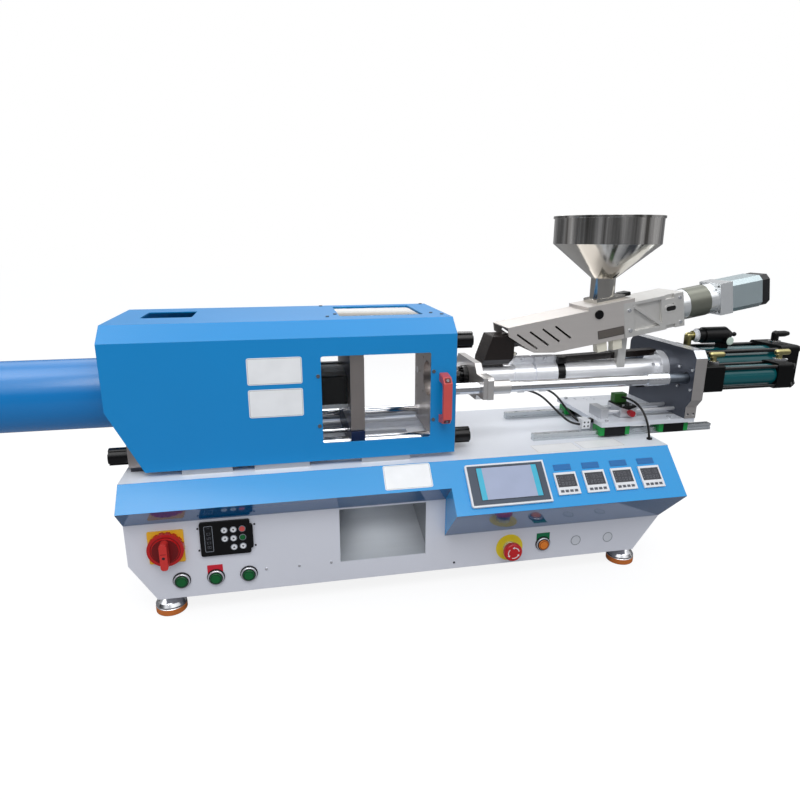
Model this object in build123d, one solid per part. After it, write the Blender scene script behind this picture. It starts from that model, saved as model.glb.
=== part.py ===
from build123d import *
import os
import math

# Desktop injection moulding machine: white sheet cabinet with a sloped blue
# console, sliding blue guard over a three-platen clamp, and a carriage with
# barrel, inclined feed unit, hopper and gearmotor.
# Working axes: X along the machine (clamp on the left), Y to the rear, Z up.
# Working origin: lower left corner of the cabinet front face, on the floor.

# ---------------------------------------------------------------- dimensions
AX_Y, AX_Z = 172.0, 422.0            # machine axis: clamp, barrel, cylinders
CAB_L, CAB_R, CAB_D = -47.0, 1072.0, 338.0
CAB_BOT, CAB_CUT, DECK = 44.0, 122.0, 290.0
SHEET = 2.5
RIDGE_L, RIDGE_R, STEP_X = 42.0, 83.5, 575.0   # console depths and step
PLATEN = 124.0                        # half width and half height of platens
BAR, BAR_R = 102.0, 12.5              # tie bar offset and radius
REAR_P, MOV_P, FIX_P = (-36.0, -4.0), (389.0, 417.0), (576.0, 606.0)
SHIM_Z = 301.0
CYL_R, CYL_L = 70.5, -330.0           # clamp cylinder
RAM_R = 25.0
RUN = 0.05                            # radial running clearance
HOOD_L, HOOD_R, HOOD_F, HOOD_B, HOOD_T = -60.0, 598.0, 22.5, 337.5, 573.4
ROD_OFF, ROD_R, ROD_Z = 102.0, 12.0, 420.5   # carriage rods
RAIL_OFF = 85.0
TILT = 9.7                            # feed unit slope, degrees
FEED_X, FEED_Z = 1000.0, 541.0        # point on the feed axis
HOP_X, HOP_R, HOP_TOP, HOP_CONE, HOP_NECK = 984.0, 116.0, 771.0, 712.0, 637.0
BASE_X, BASE_Y = 585.5, 127.25        # shift to the bounding box bottom centre


# ------------------------------------------------------------------- helpers
def bx(x0, x1, y0, y1, z0, z1):
    return Pos((x0 + x1) / 2, (y0 + y1) / 2, (z0 + z1) / 2) * Box(x1 - x0, y1 - y0, z1 - z0)


def cx(y, z, r, x0, x1):
    return Pos((x0 + x1) / 2, y, z) * Rot(0, 90, 0) * Cylinder(r, x1 - x0)


def cy(x, z, r, y0, y1):
    return Pos(x, (y0 + y1) / 2, z) * Rot(90, 0, 0) * Cylinder(r, y1 - y0)


def cz(x, y, r, z0, z1):
    return Pos(x, y, (z0 + z1) / 2) * Cylinder(r, z1 - z0)


def prism(pts, v):
    f = Face(Wire.make_polygon([Vector(*p) for p in pts], close=True))
    return Part(Solid.extrude(f, Vector(*v)).wrapped)


def pxz(pts, y0, y1):
    return prism([(x, y0, z) for x, z in pts], (0, y1 - y0, 0))


def pyz(pts, x0, x1):
    return prism([(x0, y, z) for y, z in pts], (x1 - x0, 0, 0))


def pxy(pts, z0, z1):
    return prism([(x, y, z0) for x, y in pts], (0, 0, z1 - z0))


def inset(pts, t):
    # moves every edge of a convex counter-clockwise polygon inwards by t
    n, out = len(pts), []
    lines = []
    for i in range(n):
        (x0, y0), (x1, y1) = pts[i], pts[(i + 1) % n]
        L = math.hypot(x1 - x0, y1 - y0)
        dx, dy = (x1 - x0) / L, (y1 - y0) / L
        lines.append((x0 - dy * t, y0 + dx * t, dx, dy))
    for i in range(n):
        ax, ay, adx, ady = lines[i - 1]
        bx_, by_, bdx, bdy = lines[i]
        d = adx * bdy - ady * bdx
        k = ((bx_ - ax) * bdy - (by_ - ay) * bdx) / d
        out.append((ax + adx * k, ay + ady * k))
    return out


def rrxz(x0, x1, z0, z1, r, y0, y1):
    # rounded rectangle in the XZ plane, extruded along Y
    b = bx(x0, x1, y0, y1, z0, z1)
    return fillet(b.edges().filter_by(Axis.Y), r)


def rrxy(x0, x1, y0, y1, r, z0, z1):
    b = bx(x0, x1, y0, y1, z0, z1)
    return fillet(b.edges().filter_by(Axis.Z), r)


def hexx(y, z, af, x0, x1):
    r = af / math.sqrt(3)
    return pyz([(y + r * math.cos(math.radians(60 * i)), z + r * math.sin(math.radians(60 * i)))
                for i in range(6)], x0, x1)


FEED = Pos(FEED_X, AX_Y, FEED_Z) * Rot(0, -TILT, 0)


def fs(x):
    # distance along the feed axis for a working X
    return (x - FEED_X) / math.cos(math.radians(TILT))


def fbox(s0, s1, y0, y1, w0, w1):
    return FEED * bx(s0, s1, y0, y1, w0, w1)


def fcyl(r, s0, s1, y=0.0, w=0.0):
    return FEED * cx(y, w, r, s0, s1)


# console slope: n outwards, u up the slope
def slope(x, s, h=0.0):
    k = s / math.sqrt(2)
    return Plane(origin=(x, -k - h / math.sqrt(2), DECK - k + h / math.sqrt(2)),
                 x_dir=(1, 0, 0), z_dir=(0, -1, 1)).location


def sbox(x, s, w, hgt, h0, h1):
    return slope(x, s) * Pos(0, 0, (h0 + h1) / 2) * Box(w, hgt, h1 - h0)


NODES = {}


def node(name, *shapes):
    sol = []
    for s in shapes:
        for q in (s if type(s) is list else [s]):
            sol += q.solids()
    NODES.setdefault(name, []).extend(sol)


def cut(a, *bs):
    for b in bs:
        a = a - b
    return a


def fuse(a, *bs):
    for b in bs:
        a = a + b
    return a


def quad(f):
    return [f(a, b) for a in (-1, 1) for b in (-1, 1)]


# -------------------------------------------------------------------- cabinet
CAB = [(0, CAB_BOT), (1017, CAB_BOT), (CAB_R, CAB_CUT), (CAB_R, DECK - 8), (CAB_L, DECK - 8), (CAB_L, CAB_CUT)]
BTN = [(47, 81), (111, 81), (174, 81)]
ORANGE, ESTOP = (797, 81), (720, 81)
PLUGS = [(875, 81), (952, 81)]
ISO = (25.5, 155.5)
CTRL = [816.5, 879.9, 943.3, 1006.7]
HMI_X, HMI_S = 691.75, 60.2

inner = inset(CAB, SHEET)
inner = [inner[0], inner[1], inner[2], (inner[3][0], DECK), (inner[4][0], DECK), inner[5]]
shell = cut(pxz(CAB, 0, CAB_D), pxz(inner, SHEET, CAB_D - SHEET))
shell = cut(shell, bx(356, 534, -1, 4, 86, 203), bx(604, 784, -1, 4, 150, 262), bx(790, 1034, -1, 4, 160, 262))
for x, z in BTN + [ORANGE] + PLUGS:
    shell = cut(shell, cy(x, z, 11, -1, 4))
shell = cut(shell, cy(ESTOP[0], ESTOP[1], 11, -1, 4), cy(ISO[0], ISO[1], 8, -1, 4))
for i in range(9):
    shell = cut(shell, bx(760, 900, CAB_D - 4, CAB_D + 1, 130 + 12 * i, 134 + 12 * i))
for x, y in ((16, 36), (1010, 36), (16, 302), (1010, 302)):
    shell = cut(shell, cz(x, y, 6, 43, 48))
CH = (405, 537, 110, 223)
node("cabinet_shell", shell)
# the deck is made of four plain slabs round the drop opening
node("deck_plate", bx(CAB_L, CH[0], 0, CAB_D, DECK - 8, DECK), bx(CH[1], CAB_R + 3, 0, CAB_D, DECK - 8, DECK),
     bx(CH[0], CH[1], 0, CH[2], DECK - 8, DECK), bx(CH[0], CH[1], CH[3], CAB_D, DECK - 8, DECK))
node("cabinet_internals", [cut(bx(x, x + 20, SHEET, CAB_D - SHEET, DECK - 28, DECK - 8)) for x in (60, 300, 620, 960)],
     bx(560, 900, 120, 300, CAB_BOT + SHEET, CAB_BOT + SHEET + 4),
     bx(580, 700, 140, 280, CAB_BOT + SHEET + 4, 130), bx(730, 880, 150, 260, CAB_BOT + SHEET + 4, 105),
     bx(60, 280, 180, 300, CAB_BOT + SHEET, 150))

# -------------------------------------------------------------------- console
LR, RR = RIDGE_L, RIDGE_R
k = 2 * math.sqrt(2)
cons = fuse(pyz([(0, DECK), (-LR, DECK - LR), (0, DECK - 2 * LR)], CAB_L, STEP_X),
            pyz([(0, DECK), (-RR, DECK - RR), (0, DECK - 2 * RR)], STEP_X, CAB_R + 1))
cons = cut(cons, pyz([(0, DECK - k), (-LR + k, DECK - LR), (0, DECK - 2 * LR + k)], CAB_L + 2, STEP_X + 2.2),
           pyz([(0, DECK - k), (-RR + k, DECK - RR), (0, DECK - 2 * RR + k)], STEP_X + 2, CAB_R - 1))
cons = cut(cons, sbox(HMI_X, HMI_S, 150, 76, -6, 4), *[sbox(x, 68.7, 45, 45, -6, 4) for x in CTRL])
node("console_panel", cons)

hmi = fuse(sbox(HMI_X, HMI_S, 168.5, 90, 0, 6), sbox(HMI_X, HMI_S, 149.8, 75.8, -28, 0))
hmi = fillet(hmi.edges().filter_by(Axis((0, 0, 0), (0, -1, 1))).sort_by(lambda e: -abs((e.center() - Vector(HMI_X, 0, 0)).X))[:2], 5)
node("instrument_bezels", cut(hmi, sbox(HMI_X, HMI_S, 160.5, 82, 5, 7)))
node("instrument_bezels", sbox(HMI_X, HMI_S, 160.5, 82, 5, 7))
cb, cf = [], []
for x in CTRL:
    b = fuse(sbox(x, 69.5, 48, 48, 0, 4), sbox(x, 68.7, 44.8, 44.8, -40, 0))
    b = cut(b, sbox(x, 64.0, 41, 27, 3, 5))
    cb.append(b)
    cf.append(sbox(x, 64.0, 41, 27, 3, 3.6))
    for i in range(4):
        cf.append(slope(x - 15 + 10 * i, 86.3) * Pos(0, 0, 4.4) * Box(7, 5, 0.8))
node("instrument_bezels", cb)
node("instrument_bezels", cf)
tags = [sbox(x, 33, 38, 13, 0, 0.8) for x in CTRL]
tags += [cut(bx(96, 125, -0.8, 0, 84, 108), cy(111, 81, 15.6, -2, 1)), cut(bx(782, 812, -0.8, 0, 84, 107), cy(797, 81, 15.6, -2, 1))]
node("legend_plates", tags)

# ---------------------------------------------------------------------- chute
chute = pyz([(2.5, 85.4), (222, 152), (222, 281.5), (223.5, 281.5), (223.5, 150.8), (2.5, 83.8)], 356, 540)
sides = [pyz([(2.5, 83.8), (223.5, 150.8), (223.5, 281.5), (100, 281.5), (40, 210), (2.5, 206)], a, a + 1.5) for a in (354.5, 540)]
chute = fuse(chute, *sides, bx(354.5, 541.5, 223.5, 245, 280, 281.5), bx(354.5, 541.5, 221.9, 225, 278, 282))
node("parts_chute", chute)

# ----------------------------------------------------------------------- feet
FEET = [(16, 36), (1010, 36), (16, 302), (1010, 302)]
pads, domes = [], []
for x, y in FEET:
    p = cz(x, y, 30, 0, 15)
    pads.append(fillet(p.edges().filter_by(GeomType.CIRCLE), 3))
    dome = [(0, 15), (29, 15), (29.5, 18), (26, 24), (20, 30), (14, 35), (11, 39), (11, CAB_BOT), (0, CAB_BOT)]
    dw = Wire.make_polygon([Vector(x + a, y, b) for a, b in dome], close=True)
    d = Part(Solid.revolve(Face(dw), 360, Axis((x, y, 0), (0, 0, 1))).wrapped)
    domes.append(fuse(d, cz(x, y, 6, CAB_BOT - 1, CAB_BOT + 22)))
node("levelling_feet", pads)
node("levelling_feet", domes)

# ------------------------------------------------------------ front equipment
iso = cut(rrxz(-7, 58.5, 123.5, 190.5, 3, -3, 0), cy(ISO[0], ISO[1], 8.05, -4, 1))
node("isolator_plate", iso, cut(bx(3, 48, SHEET, 50, 133, 178), cy(ISO[0], ISO[1], 6.05, 2, 30)))
kn = cy(ISO[0], ISO[1], 33.5, -14, -3.3)
for i in range(16):
    a = math.radians(22.5 * i)
    kn = cut(kn, cy(ISO[0] + 34.7 * math.cos(a), ISO[1] + 34.7 * math.sin(a), 3.4, -12, -2))
kn = fuse(kn, cy(ISO[0], ISO[1], 24, -17, -13))
grip = rrxz(ISO[0] - 7, ISO[0] + 7, ISO[1] - 30, ISO[1] + 23, 6, -36, -16)
kn = fuse(kn, grip, cy(ISO[0], ISO[1], 6, -4, 24))
node("isolator_knob", kn)

kp = rrxz(88, 182, 130, 201, 4, -5, 0)
kp = fuse(kp, rrxz(176, 187, 140, 191, 5, -5, 0))
keys = [(133.8, 182.5), (150.8, 182.6), (167.3, 182.8), (134, 164.4), (150.3, 164.2), (167.4, 164.8), (127, 147.5), (150.2, 145.4), (167.2, 146.2)]
kp = cut(kp, rrxz(97, 111.5, 140, 193, 2, -6, -4.4))
node("keypad", kp)
node("instrument_bezels", rrxz(97, 111.5, 140, 193, 2, -4.9, -4.4))
node("keypad", [cy(x, z, 5.2, -6.2, -5) for x, z in keys if x > 130])

rings, caps = [], {}


def button(x, z, name):
    ring = fuse(cy(x, z, 15.5, -5, 0), cy(x, z, 11, -0.2, 32), bx(x - 13, x + 13, 8, 40, z - 13, z + 13))
    ring = fillet(ring.edges().filter_by(GeomType.CIRCLE).sort_by(Axis.Y)[:1], 2.0)
    ring = cut(ring, cy(x, z, 11.2, -6, -0.5), cy(x, z, 6, -1, 20))
    rings.append(ring)
    cap = cy(x, z, 11.2 - RUN, -8, -4.8)
    cap = fillet(cap.edges().filter_by(GeomType.CIRCLE).sort_by(Axis.Y)[:1], 1.2)
    cap = fuse(cap, cy(x, z, 6 - RUN, -5, 14))
    node(name, cap)


for (x, z), nm in zip(BTN, ("button_left", "button_middle", "button_right")):
    button(x, z, nm)
button(ORANGE[0], ORANGE[1], "button_orange")
ex, ez = ESTOP
er = fuse(cy(ex, ez, 15, -7.5, 0), cy(ex, ez, 11, -0.2, 32), bx(ex - 13, ex + 13, 8, 40, ez - 13, ez + 13))
er = cut(er, cy(ex, ez, 7, -8, 24))
rings.append(er)
for x, z in PLUGS:
    rings.append(fuse(cy(x, z, 10.2, -0.4, 1.4), cy(x, z, 11, 1.2, 5)))
for x, z in ((208, 88), (273, 88), (337, 88)):
    rings.append(cy(x, z, 2.6, -1.6, 0))
node("panel_fittings", rings)
node("legend_plates", cut(cy(ex, ez, 30, -1.2, 0), cy(ex, ez, 15.0, -2, 1)))
node("estop_stem", cy(ex, ez, 7 - RUN, -25, 16))
hd = fuse(cy(ex, ez, 20, -27, -17), cy(ex, ez, 12, -17, -13.5))
hd = fillet(hd.edges().filter_by(GeomType.CIRCLE).sort_by(Axis.Y)[:1], 4)
node("estop_head", cut(hd, cy(ex, ez, 7, -25.1, -13)))

# ----------------------------------------------------------------------- clamp
def holes4(x0, x1, r, s=BAR):
    return [cx(AX_Y + a * s, AX_Z + b * s, r, x0, x1) for a in (-1, 1) for b in (-1, 1)]


y0, y1, zt = AX_Y - PLATEN, AX_Y + PLATEN, AX_Z + PLATEN
PR_Y, PR_Z = 110.0, 333.0            # position rod


def plate(xa, xb, za, zb):
    b = bx(xa, xb, y0, y1, za, zb)
    return chamfer(b.edges().filter_by(Axis.X), 3)


rear = cut(plate(REAR_P[0], REAR_P[1], SHIM_Z, zt), *holes4(-40, 0, BAR_R), cx(AX_Y, AX_Z, RAM_R + RUN, -40, 0),
           cx(PR_Y, PR_Z, 6 + RUN, -40, 0))
node("rear_platen", rear)
tapped = [(42, 40), (42, -40), (-42, 40), (-42, -40), (104, 42), (104, -42), (-104, 42), (-104, -42)]
fixp = cut(plate(FIX_P[0], FIX_P[1], SHIM_Z, zt), *holes4(570, 610, BAR_R), cx(AX_Y, AX_Z, 39, 570, 610),
           *[cx(AX_Y + a, AX_Z + b, 3.4, FIX_P[0] - 1, FIX_P[0] + 18) for a, b in tapped],
           *[cx(AX_Y + a, AX_Z, 4.2, FIX_P[0] - 1, FIX_P[0] + 18) for a in (-73, 73)],
           *[cx(AX_Y + a * ROD_OFF, ROD_Z, 8, 570, 610) for a in (-1, 1)])
node("fixed_platen", fixp)
mov = cut(plate(MOV_P[0], MOV_P[1], 348, zt), *[cx(AX_Y + a * BAR, AX_Z + BAR, 17, 380, 420) for a in (-1, 1)],
          cx(AX_Y, AX_Z, 10 + RUN, 380, 420),
          *[cx(AX_Y + a, AX_Z + b, 3.4, MOV_P[1] - 18, MOV_P[1] + 1) for a, b in tapped],
          bx(MOV_P[1] - 0.5, 420, y0 - 1, y0 + 48, zt - 48, zt + 1), bx(MOV_P[1] - 0.5, 420, y1 - 48, y1 + 1, zt - 48, zt + 1))
node("moving_platen", mov)
node("platen_fittings", [cut(fuse(cx(AX_Y + a * BAR, AX_Z + BAR, 17, 381, 417), cx(AX_Y + a * BAR, AX_Z + BAR, 22, 416.5, 425), cx(AX_Y + a * BAR, AX_Z + BAR, 22, 381, 389)),
                           cx(AX_Y + a * BAR, AX_Z + BAR, BAR_R + RUN, 370, 430)) for a in (-1, 1)])
node("platen_shoe", cut(bx(MOV_P[0], MOV_P[1], y0, y1, SHIM_Z + 0.1, 348),
                        *[cx(AX_Y + a * BAR, AX_Z - BAR, BAR_R + RUN, 380, 430) for a in (-1, 1)]))
bars, nuts = [], []
for a in (-1, 1):
    for b in (-1, 1):
        yy, zz = AX_Y + a * BAR, AX_Z + b * BAR
        xl = -57 if b > 0 else -73
        t = cx(yy, zz, BAR_R, xl + 4, 638)
        bars.append(chamfer(t.edges().filter_by(GeomType.CIRCLE), 1.5))
        for xa, xb in ((xl, REAR_P[0]), (FIX_P[1], 642)):
            n = cut(cx(yy, zz, 17, xa, xb), cx(yy, zz, BAR_R, xa - 1, xb + 1))
            for i in range(4):
                n = cut(n, Pos((xa + xb) / 2, yy, zz) * Rot(45 + 90 * i, 0, 0) * Pos(0, 0, 17) * Box(xb - xa + 2, 6, 5))
            nuts.append(n)
node("tie_bars", bars)
node("tie_bar_nuts", nuts)
tube = cut(cx(AX_Y, AX_Z, CYL_R, CYL_L, REAR_P[0]), cx(AX_Y, AX_Z, 58, CYL_L + 15, REAR_P[0] - 20),
           cx(AX_Y, AX_Z, RAM_R + RUN, REAR_P[0] - 21, REAR_P[0] + 1))
tube = chamfer(tube.edges().filter_by(GeomType.CIRCLE).sort_by(Axis.X)[:1], 3)
node("clamp_cylinder", tube)
PB = 300.0
node("clamp_ram", fuse(cx(AX_Y, AX_Z, RAM_R, -190, PB), cx(AX_Y, AX_Z, 58 - RUN, -215, -190)),
     cx(PR_Y, PR_Z, 6, -30, MOV_P[0]))
blk = bx(PB, MOV_P[0], 100, 244, 392, 452)
blk = chamfer(blk.edges().filter_by(Axis.X), 3)
blk = cut(blk, cx(AX_Y, AX_Z, 10 + RUN, 338, 395))
node("platen_fittings", blk)
node("platen_fittings", bx(PB, MOV_P[0], 100, 244, 384, 392), bx(PB + 4, MOV_P[0], 148, 160, 452, 464), bx(PB + 4, MOV_P[0], 184, 196, 452, 464))
node("ejector_rod", cx(AX_Y, AX_Z, 10, 345, 415))
node("deck_strips", [bx(-36, 606, yy - 20, yy + 20, DECK, SHIM_Z) for yy in (80, 264)])

# ------------------------------------------------------------------------ hood
P = [(HOOD_F, 300.2), (HOOD_B, 300.2), (HOOD_B, 545), (HOOD_B - 35.5, HOOD_T), (58, HOOD_T), (HOOD_F, 545)]
pi = inset(P, SHEET)
pi = [(pi[0][0], 299), (pi[1][0], 299)] + pi[2:]
hood = cut(pyz(P, HOOD_L, HOOD_R), pyz(pi, HOOD_L - 1, HOOD_R + 1))
hood = cut(hood, pxz([(-61, 421), (-61, 299), (-1, 299), (-2, 300.2), (-60, 420)], 0, 400))
WF, WB, WT, SL = (331, 546, 336, 509), (340, 588, 312, 520), (377, 550, 107, 275), (-8, 89, 145, 242)
hood = cut(hood, rrxz(*WF, 4, 20, 30), rrxz(*WB, 8, 330, 345), rrxy(*WT, 8, 560, 580), rrxy(*SL, 6, 560, 580))
lips = [bx(0, HOOD_R, HOOD_F + SHEET, HOOD_F + 14, 300.2, 302.7), bx(0, HOOD_R, HOOD_B - 14, HOOD_B - SHEET, 300.2, 302.7)]
node("hood_shell", fuse(hood, *lips))
yi, yo, zi = HOOD_F + SHEET, HOOD_B - SHEET, HOOD_T - SHEET
node("hood_panes", bx(318, 559, yi, yi + 3, 326, 519), bx(330, 596, yo - 3, yo, 310, 530),
     bx(345, 592, 92, 300, zi - 3, zi))
scr = [cy(x, z, 3.6, HOOD_F - 2, HOOD_F) for x in (325, 551.5) for z in (372.5, 471.5)]
scr += [cz(x, y, 3.6, HOOD_T, HOOD_T + 2) for x, y in ((352, 100), (586, 98), (352, 290), (586, 293), (370, 135), (569, 123))]
node("hood_shell", scr)
hn = pyz([(HOOD_F, 366), (-3, 370), (-12.5, 381), (-12.5, 453), (-3, 464), (HOOD_F, 468)], 563, 581)
hn = cut(hn, pyz([(HOOD_F + 1, 382), (4, 383), (-2.5, 388), (-2.5, 446), (4, 451), (HOOD_F + 1, 452)], 560, 590))
hn = fillet(hn.edges().filter_by(GeomType.LINE).filter_by(lambda e: abs(e.tangent_at(0.5).X) < 0.1 and e.center().Y < HOOD_F - 1 and e.center().Y < 10), 2.0)
node("hood_handle", hn)
node("deck_strips", [bx(a, b, yy, yy + 14, DECK, 300) for a, b in ((63, 156), (197, 303), (406, 505)) for yy in (HOOD_F + 1, HOOD_B - 15)])

# ------------------------------------------------------------- carriage rods
rods = []
for a in (-1, 1):
    yy = AX_Y + a * ROD_OFF
    r = fuse(cx(yy, ROD_Z, 8, FIX_P[0], FIX_P[1]), cx(yy, ROD_Z, ROD_R, FIX_P[1], 1050), cx(yy, ROD_Z, 14.8, 1050, 1102),
             cx(yy, ROD_Z, 11.5, 1102, 1290), cx(yy, ROD_Z, 20 - RUN, 1280, 1296))
    rods.append(r)
node("carriage_rods", rods)
RY = (AX_Y - RAIL_OFF, AX_Y + RAIL_OFF)
rails = []
for yy in RY:
    r = bx(797, 1240, yy - 7.5, yy + 7.5, DECK, 305)
    for sgn in (-1, 1):
        r = cut(r, bx(796, 1241, yy + sgn * 7.5 - 1.6, yy + sgn * 7.5 + 1.6, 295.5, 299.5))
    for i in range(7):
        r = cut(r, cz(827 + 60 * i, yy, 3.6, 300, 306), cz(827 + 60 * i, yy, 2.2, 289, 301))
    rails.append(r)
node("linear_rails", rails)

# ------------------------------------------------------------------- carriage
CP = (948.0, 1179.0)
cpl = bx(CP[0], CP[1], 60, 284, 318, 328)
for x, y in ((988, 270), (988, 286 - 24), (1012, 266), (1034, 270), (1034, 254), (1012, 250)):
    cpl = cut(cpl, cz(x, y, 2.6, 317, 329))
node("carriage_plate", cpl, [cz(x, y, 4, 328, 331.5) for x in (966, 1121) for y in (72, 272)])
gb, gs = [], []
for x0_, x1_ in ((951, 1024), (1098, 1172)):
    for yy in RY:
        prof = [(-17, 294), (-7.6, 294), (-7.6, 305.1), (7.6, 305.1), (7.6, 294), (17, 294), (17, 314), (14, 318), (-14, 318), (-17, 314)]
        p2 = [(-16.5, 295), (-7.8, 295), (-7.8, 305.4), (7.8, 305.4), (7.8, 295), (16.5, 295), (16.5, 313.5), (13.5, 317), (-13.5, 317), (-16.5, 313.5)]
        gb.append(pyz([(yy + a, b) for a, b in prof], x0_ + 11, x1_ - 11))
        gs += [pyz([(yy + a, b) for a, b in p2], x0_, x0_ + 11), pyz([(yy + a, b) for a, b in p2], x1_ - 11, x1_)]
node("guide_blocks", gb)
node("guide_blocks", gs)

RPX = (1151.0, 1179.0)
rp = pyz([(58, 328), (286, 328), (286, 355), (301, 374), (301, 469), (288, 485.5), (56, 485.5), (43, 469), (43, 374), (58, 355)], *RPX)
rp = cut(rp, cx(AX_Y, AX_Z, 20, 1149, 1189), *[cx(AX_Y + a * ROD_OFF, ROD_Z, 13, 1149, 1189) for a in (-1, 1)],
         *[cy(x, 337, 3, 57, 62) for x in (1158, 1172)])
node("rear_plate", rp)
scr = []
for a in (-1, 1):
    for b in (-1, 1):
        scr.append(cx(AX_Y - ROD_OFF + 2 + a * 22.5, ROD_Z - 1 + b * 22.5, 3.2, RPX[0] - 3, RPX[0]))
        scr.append(cx(AX_Y + ROD_OFF - 2 + a * 22.5, ROD_Z - 1 + b * 22.5, 3.2, RPX[0] - 3, RPX[0]))
node("machine_screws", scr)

FPX = (665.0, 680.0)
fpp = [(-72, 387), (72, 387), (80, 399.5), (123, 399.5), (123, 445), (77, 445), (60.5, 465), (-60.5, 465), (-77, 445),
       (-123, 445), (-123, 399.5), (-80, 399.5)]
fp = pyz([(AX_Y + a, b) for a, b in fpp], *FPX)
for a in (-1, 1):
    yy = AX_Y + a * ROD_OFF
    blk_ = pyz([(yy + a * 24, 399.5), (yy + a * 24, 440), (yy + a * 18, 446), (yy - a * 24, 446), (yy - a * 24, 399.5)], 674, 687)
    fp = fuse(fp, blk_, cx(yy, ROD_Z, 15, 687, 729))
    fp = cut(fp, cx(yy, ROD_Z, ROD_R + RUN, 660, 735))
fp = cut(fp, cx(AX_Y, AX_Z, 13, 660, 690))
node("front_plate", fp)

# ------------------------------------------------------------------ cylinders
# y, z, half depth, half height, tube radii, end block, rod radius, tie rod offset and radius
CYA = [(AX_Y - ROD_OFF, ROD_Z, 27.5, 29.5, 24.0, 20.0, 1366.0, 1404.0, 11.5, 22.0, 4.0),
       (AX_Y, AX_Z, 52.0, 52.0, 45.0, 38.0, 1440.0, 1490.0, 12.0, 42.0, 5.0),
       (AX_Y + ROD_OFF, ROD_Z, 27.5, 29.5, 24.0, 20.0, 1366.0, 1404.0, 11.5, 22.0, 4.0)]
tubes, blocks, trods = [], [], []
for yy, zz, hy, hz, ro, ri, xe, xf, rr, to, tr in CYA:
    fb = bx(RPX[1], 1227, yy - hy, yy + hy, zz - hz, zz + hz)
    eb = bx(xe, xf, yy - hy, yy + hy, zz - hz, zz + hz)
    fb = chamfer(fb.edges().filter_by(Axis.X), 2.5)
    eb = fillet(eb.edges().filter_by(Axis.X), 8)
    fb = cut(fb, cx(yy, zz, rr + RUN, 1170, 1230))
    blocks += [fb, eb]
    tubes.append(cut(cx(yy, zz, ro, 1227, xe), cx(yy, zz, ri, 1226, xe + 1)))
    for a, b in quad(lambda p, q: (p, q)):
        trods.append(cx(yy + a * to, zz + b * to, tr, 1227, xe))
        trods.append(hexx(yy + a * to, zz + b * to, tr * 3.2, xf, xf + 5))
node("cylinder_tubes", tubes)
node("cylinder_blocks", blocks)
node("cylinder_blocks", trods)

# ports, elbows and regulator on the cylinder blocks
yf, zf = AX_Y - ROD_OFF, ROD_Z + 29.5
silver, brass, black = [], [], []
for x in (1215, 1387):
    silver.append(pxy([(x + 12.5 * math.cos(math.radians(60 * i + 10)), yf + 12.5 * math.sin(math.radians(60 * i + 10))) for i in range(6)], zf, zf + 7))
    e = fuse(cz(x, yf, 6.5, zf + 7, zf + 21), cx(yf, zf + 21, 7, x - 6, x + 21), Pos(x - 6, yf, zf + 21) * Sphere(7), Pos(x + 21, yf, zf + 21) * Sphere(7))
    brass.append(e)
silver.append(fuse(cz(1404 - 4, yf, 6, zf, zf + 5), cx(yf, zf + 3, 2.5, 1400, 1410)))
zm = AX_Z + 52
brass.append(fuse(cz(1220, AX_Y, 8.5, zm, zm + 24), Pos(1220, AX_Y, zm + 24) * Sphere(8.5), cx(AX_Y, zm + 24, 8.5, 1220, 1231)))
silver.append(cz(1464, AX_Y, 14, zm, zm + 5))
el = fuse(cz(1464, AX_Y, 8.5, zm + 5, zm + 21), Pos(1464, AX_Y, zm + 21) * Sphere(8.5), cx(AX_Y, zm + 21, 7.5, 1464, 1490),
          Pos(1495.5, AX_Y, zm + 21) * Rot(0, 90, 0) * Cone(7.5, 5, 11))
black.append(el)
node("pipe_fittings", brass)
node("pipe_fittings", silver, black)
zr = zm + 24
reg = fuse(cx(AX_Y, zr, 16.5, 1241, 1262), cx(AX_Y, zr, 19.5, 1258, 1318), Pos(1326, AX_Y, zr) * Rot(0, 90, 0) * Cone(19.5, 9, 16),
           bx(1304, 1326, AX_Y - 9, AX_Y + 9, zm - 8, zr - 4))
reg = cut(reg, cx(AX_Y, AX_Z, 45, 1300, 1330), *[cx(AX_Y + a * 42, AX_Z + 42, 5, 1300, 1330) for a in (-1, 1)])
node("pipe_fittings", reg, cx(AX_Y, zr, 12, 1231, 1241), fuse(cx(AX_Y, zr, 4.5, 1334, 1346), Pos(1346, AX_Y, zr) * Sphere(5.5)))
gauge = cy(1316, zr - 12, 9.5, AX_Y - 26, AX_Y - 8)
node("pipe_fittings", cut(gauge, cx(AX_Y, zr, 19.5, 1258, 1330), Pos(1326, AX_Y, zr) * Rot(0, 90, 0) * Cone(19.5, 9, 16)),
     cy(1316, zr - 12, 7.5, AX_Y - 26.8, AX_Y - 26))

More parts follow.
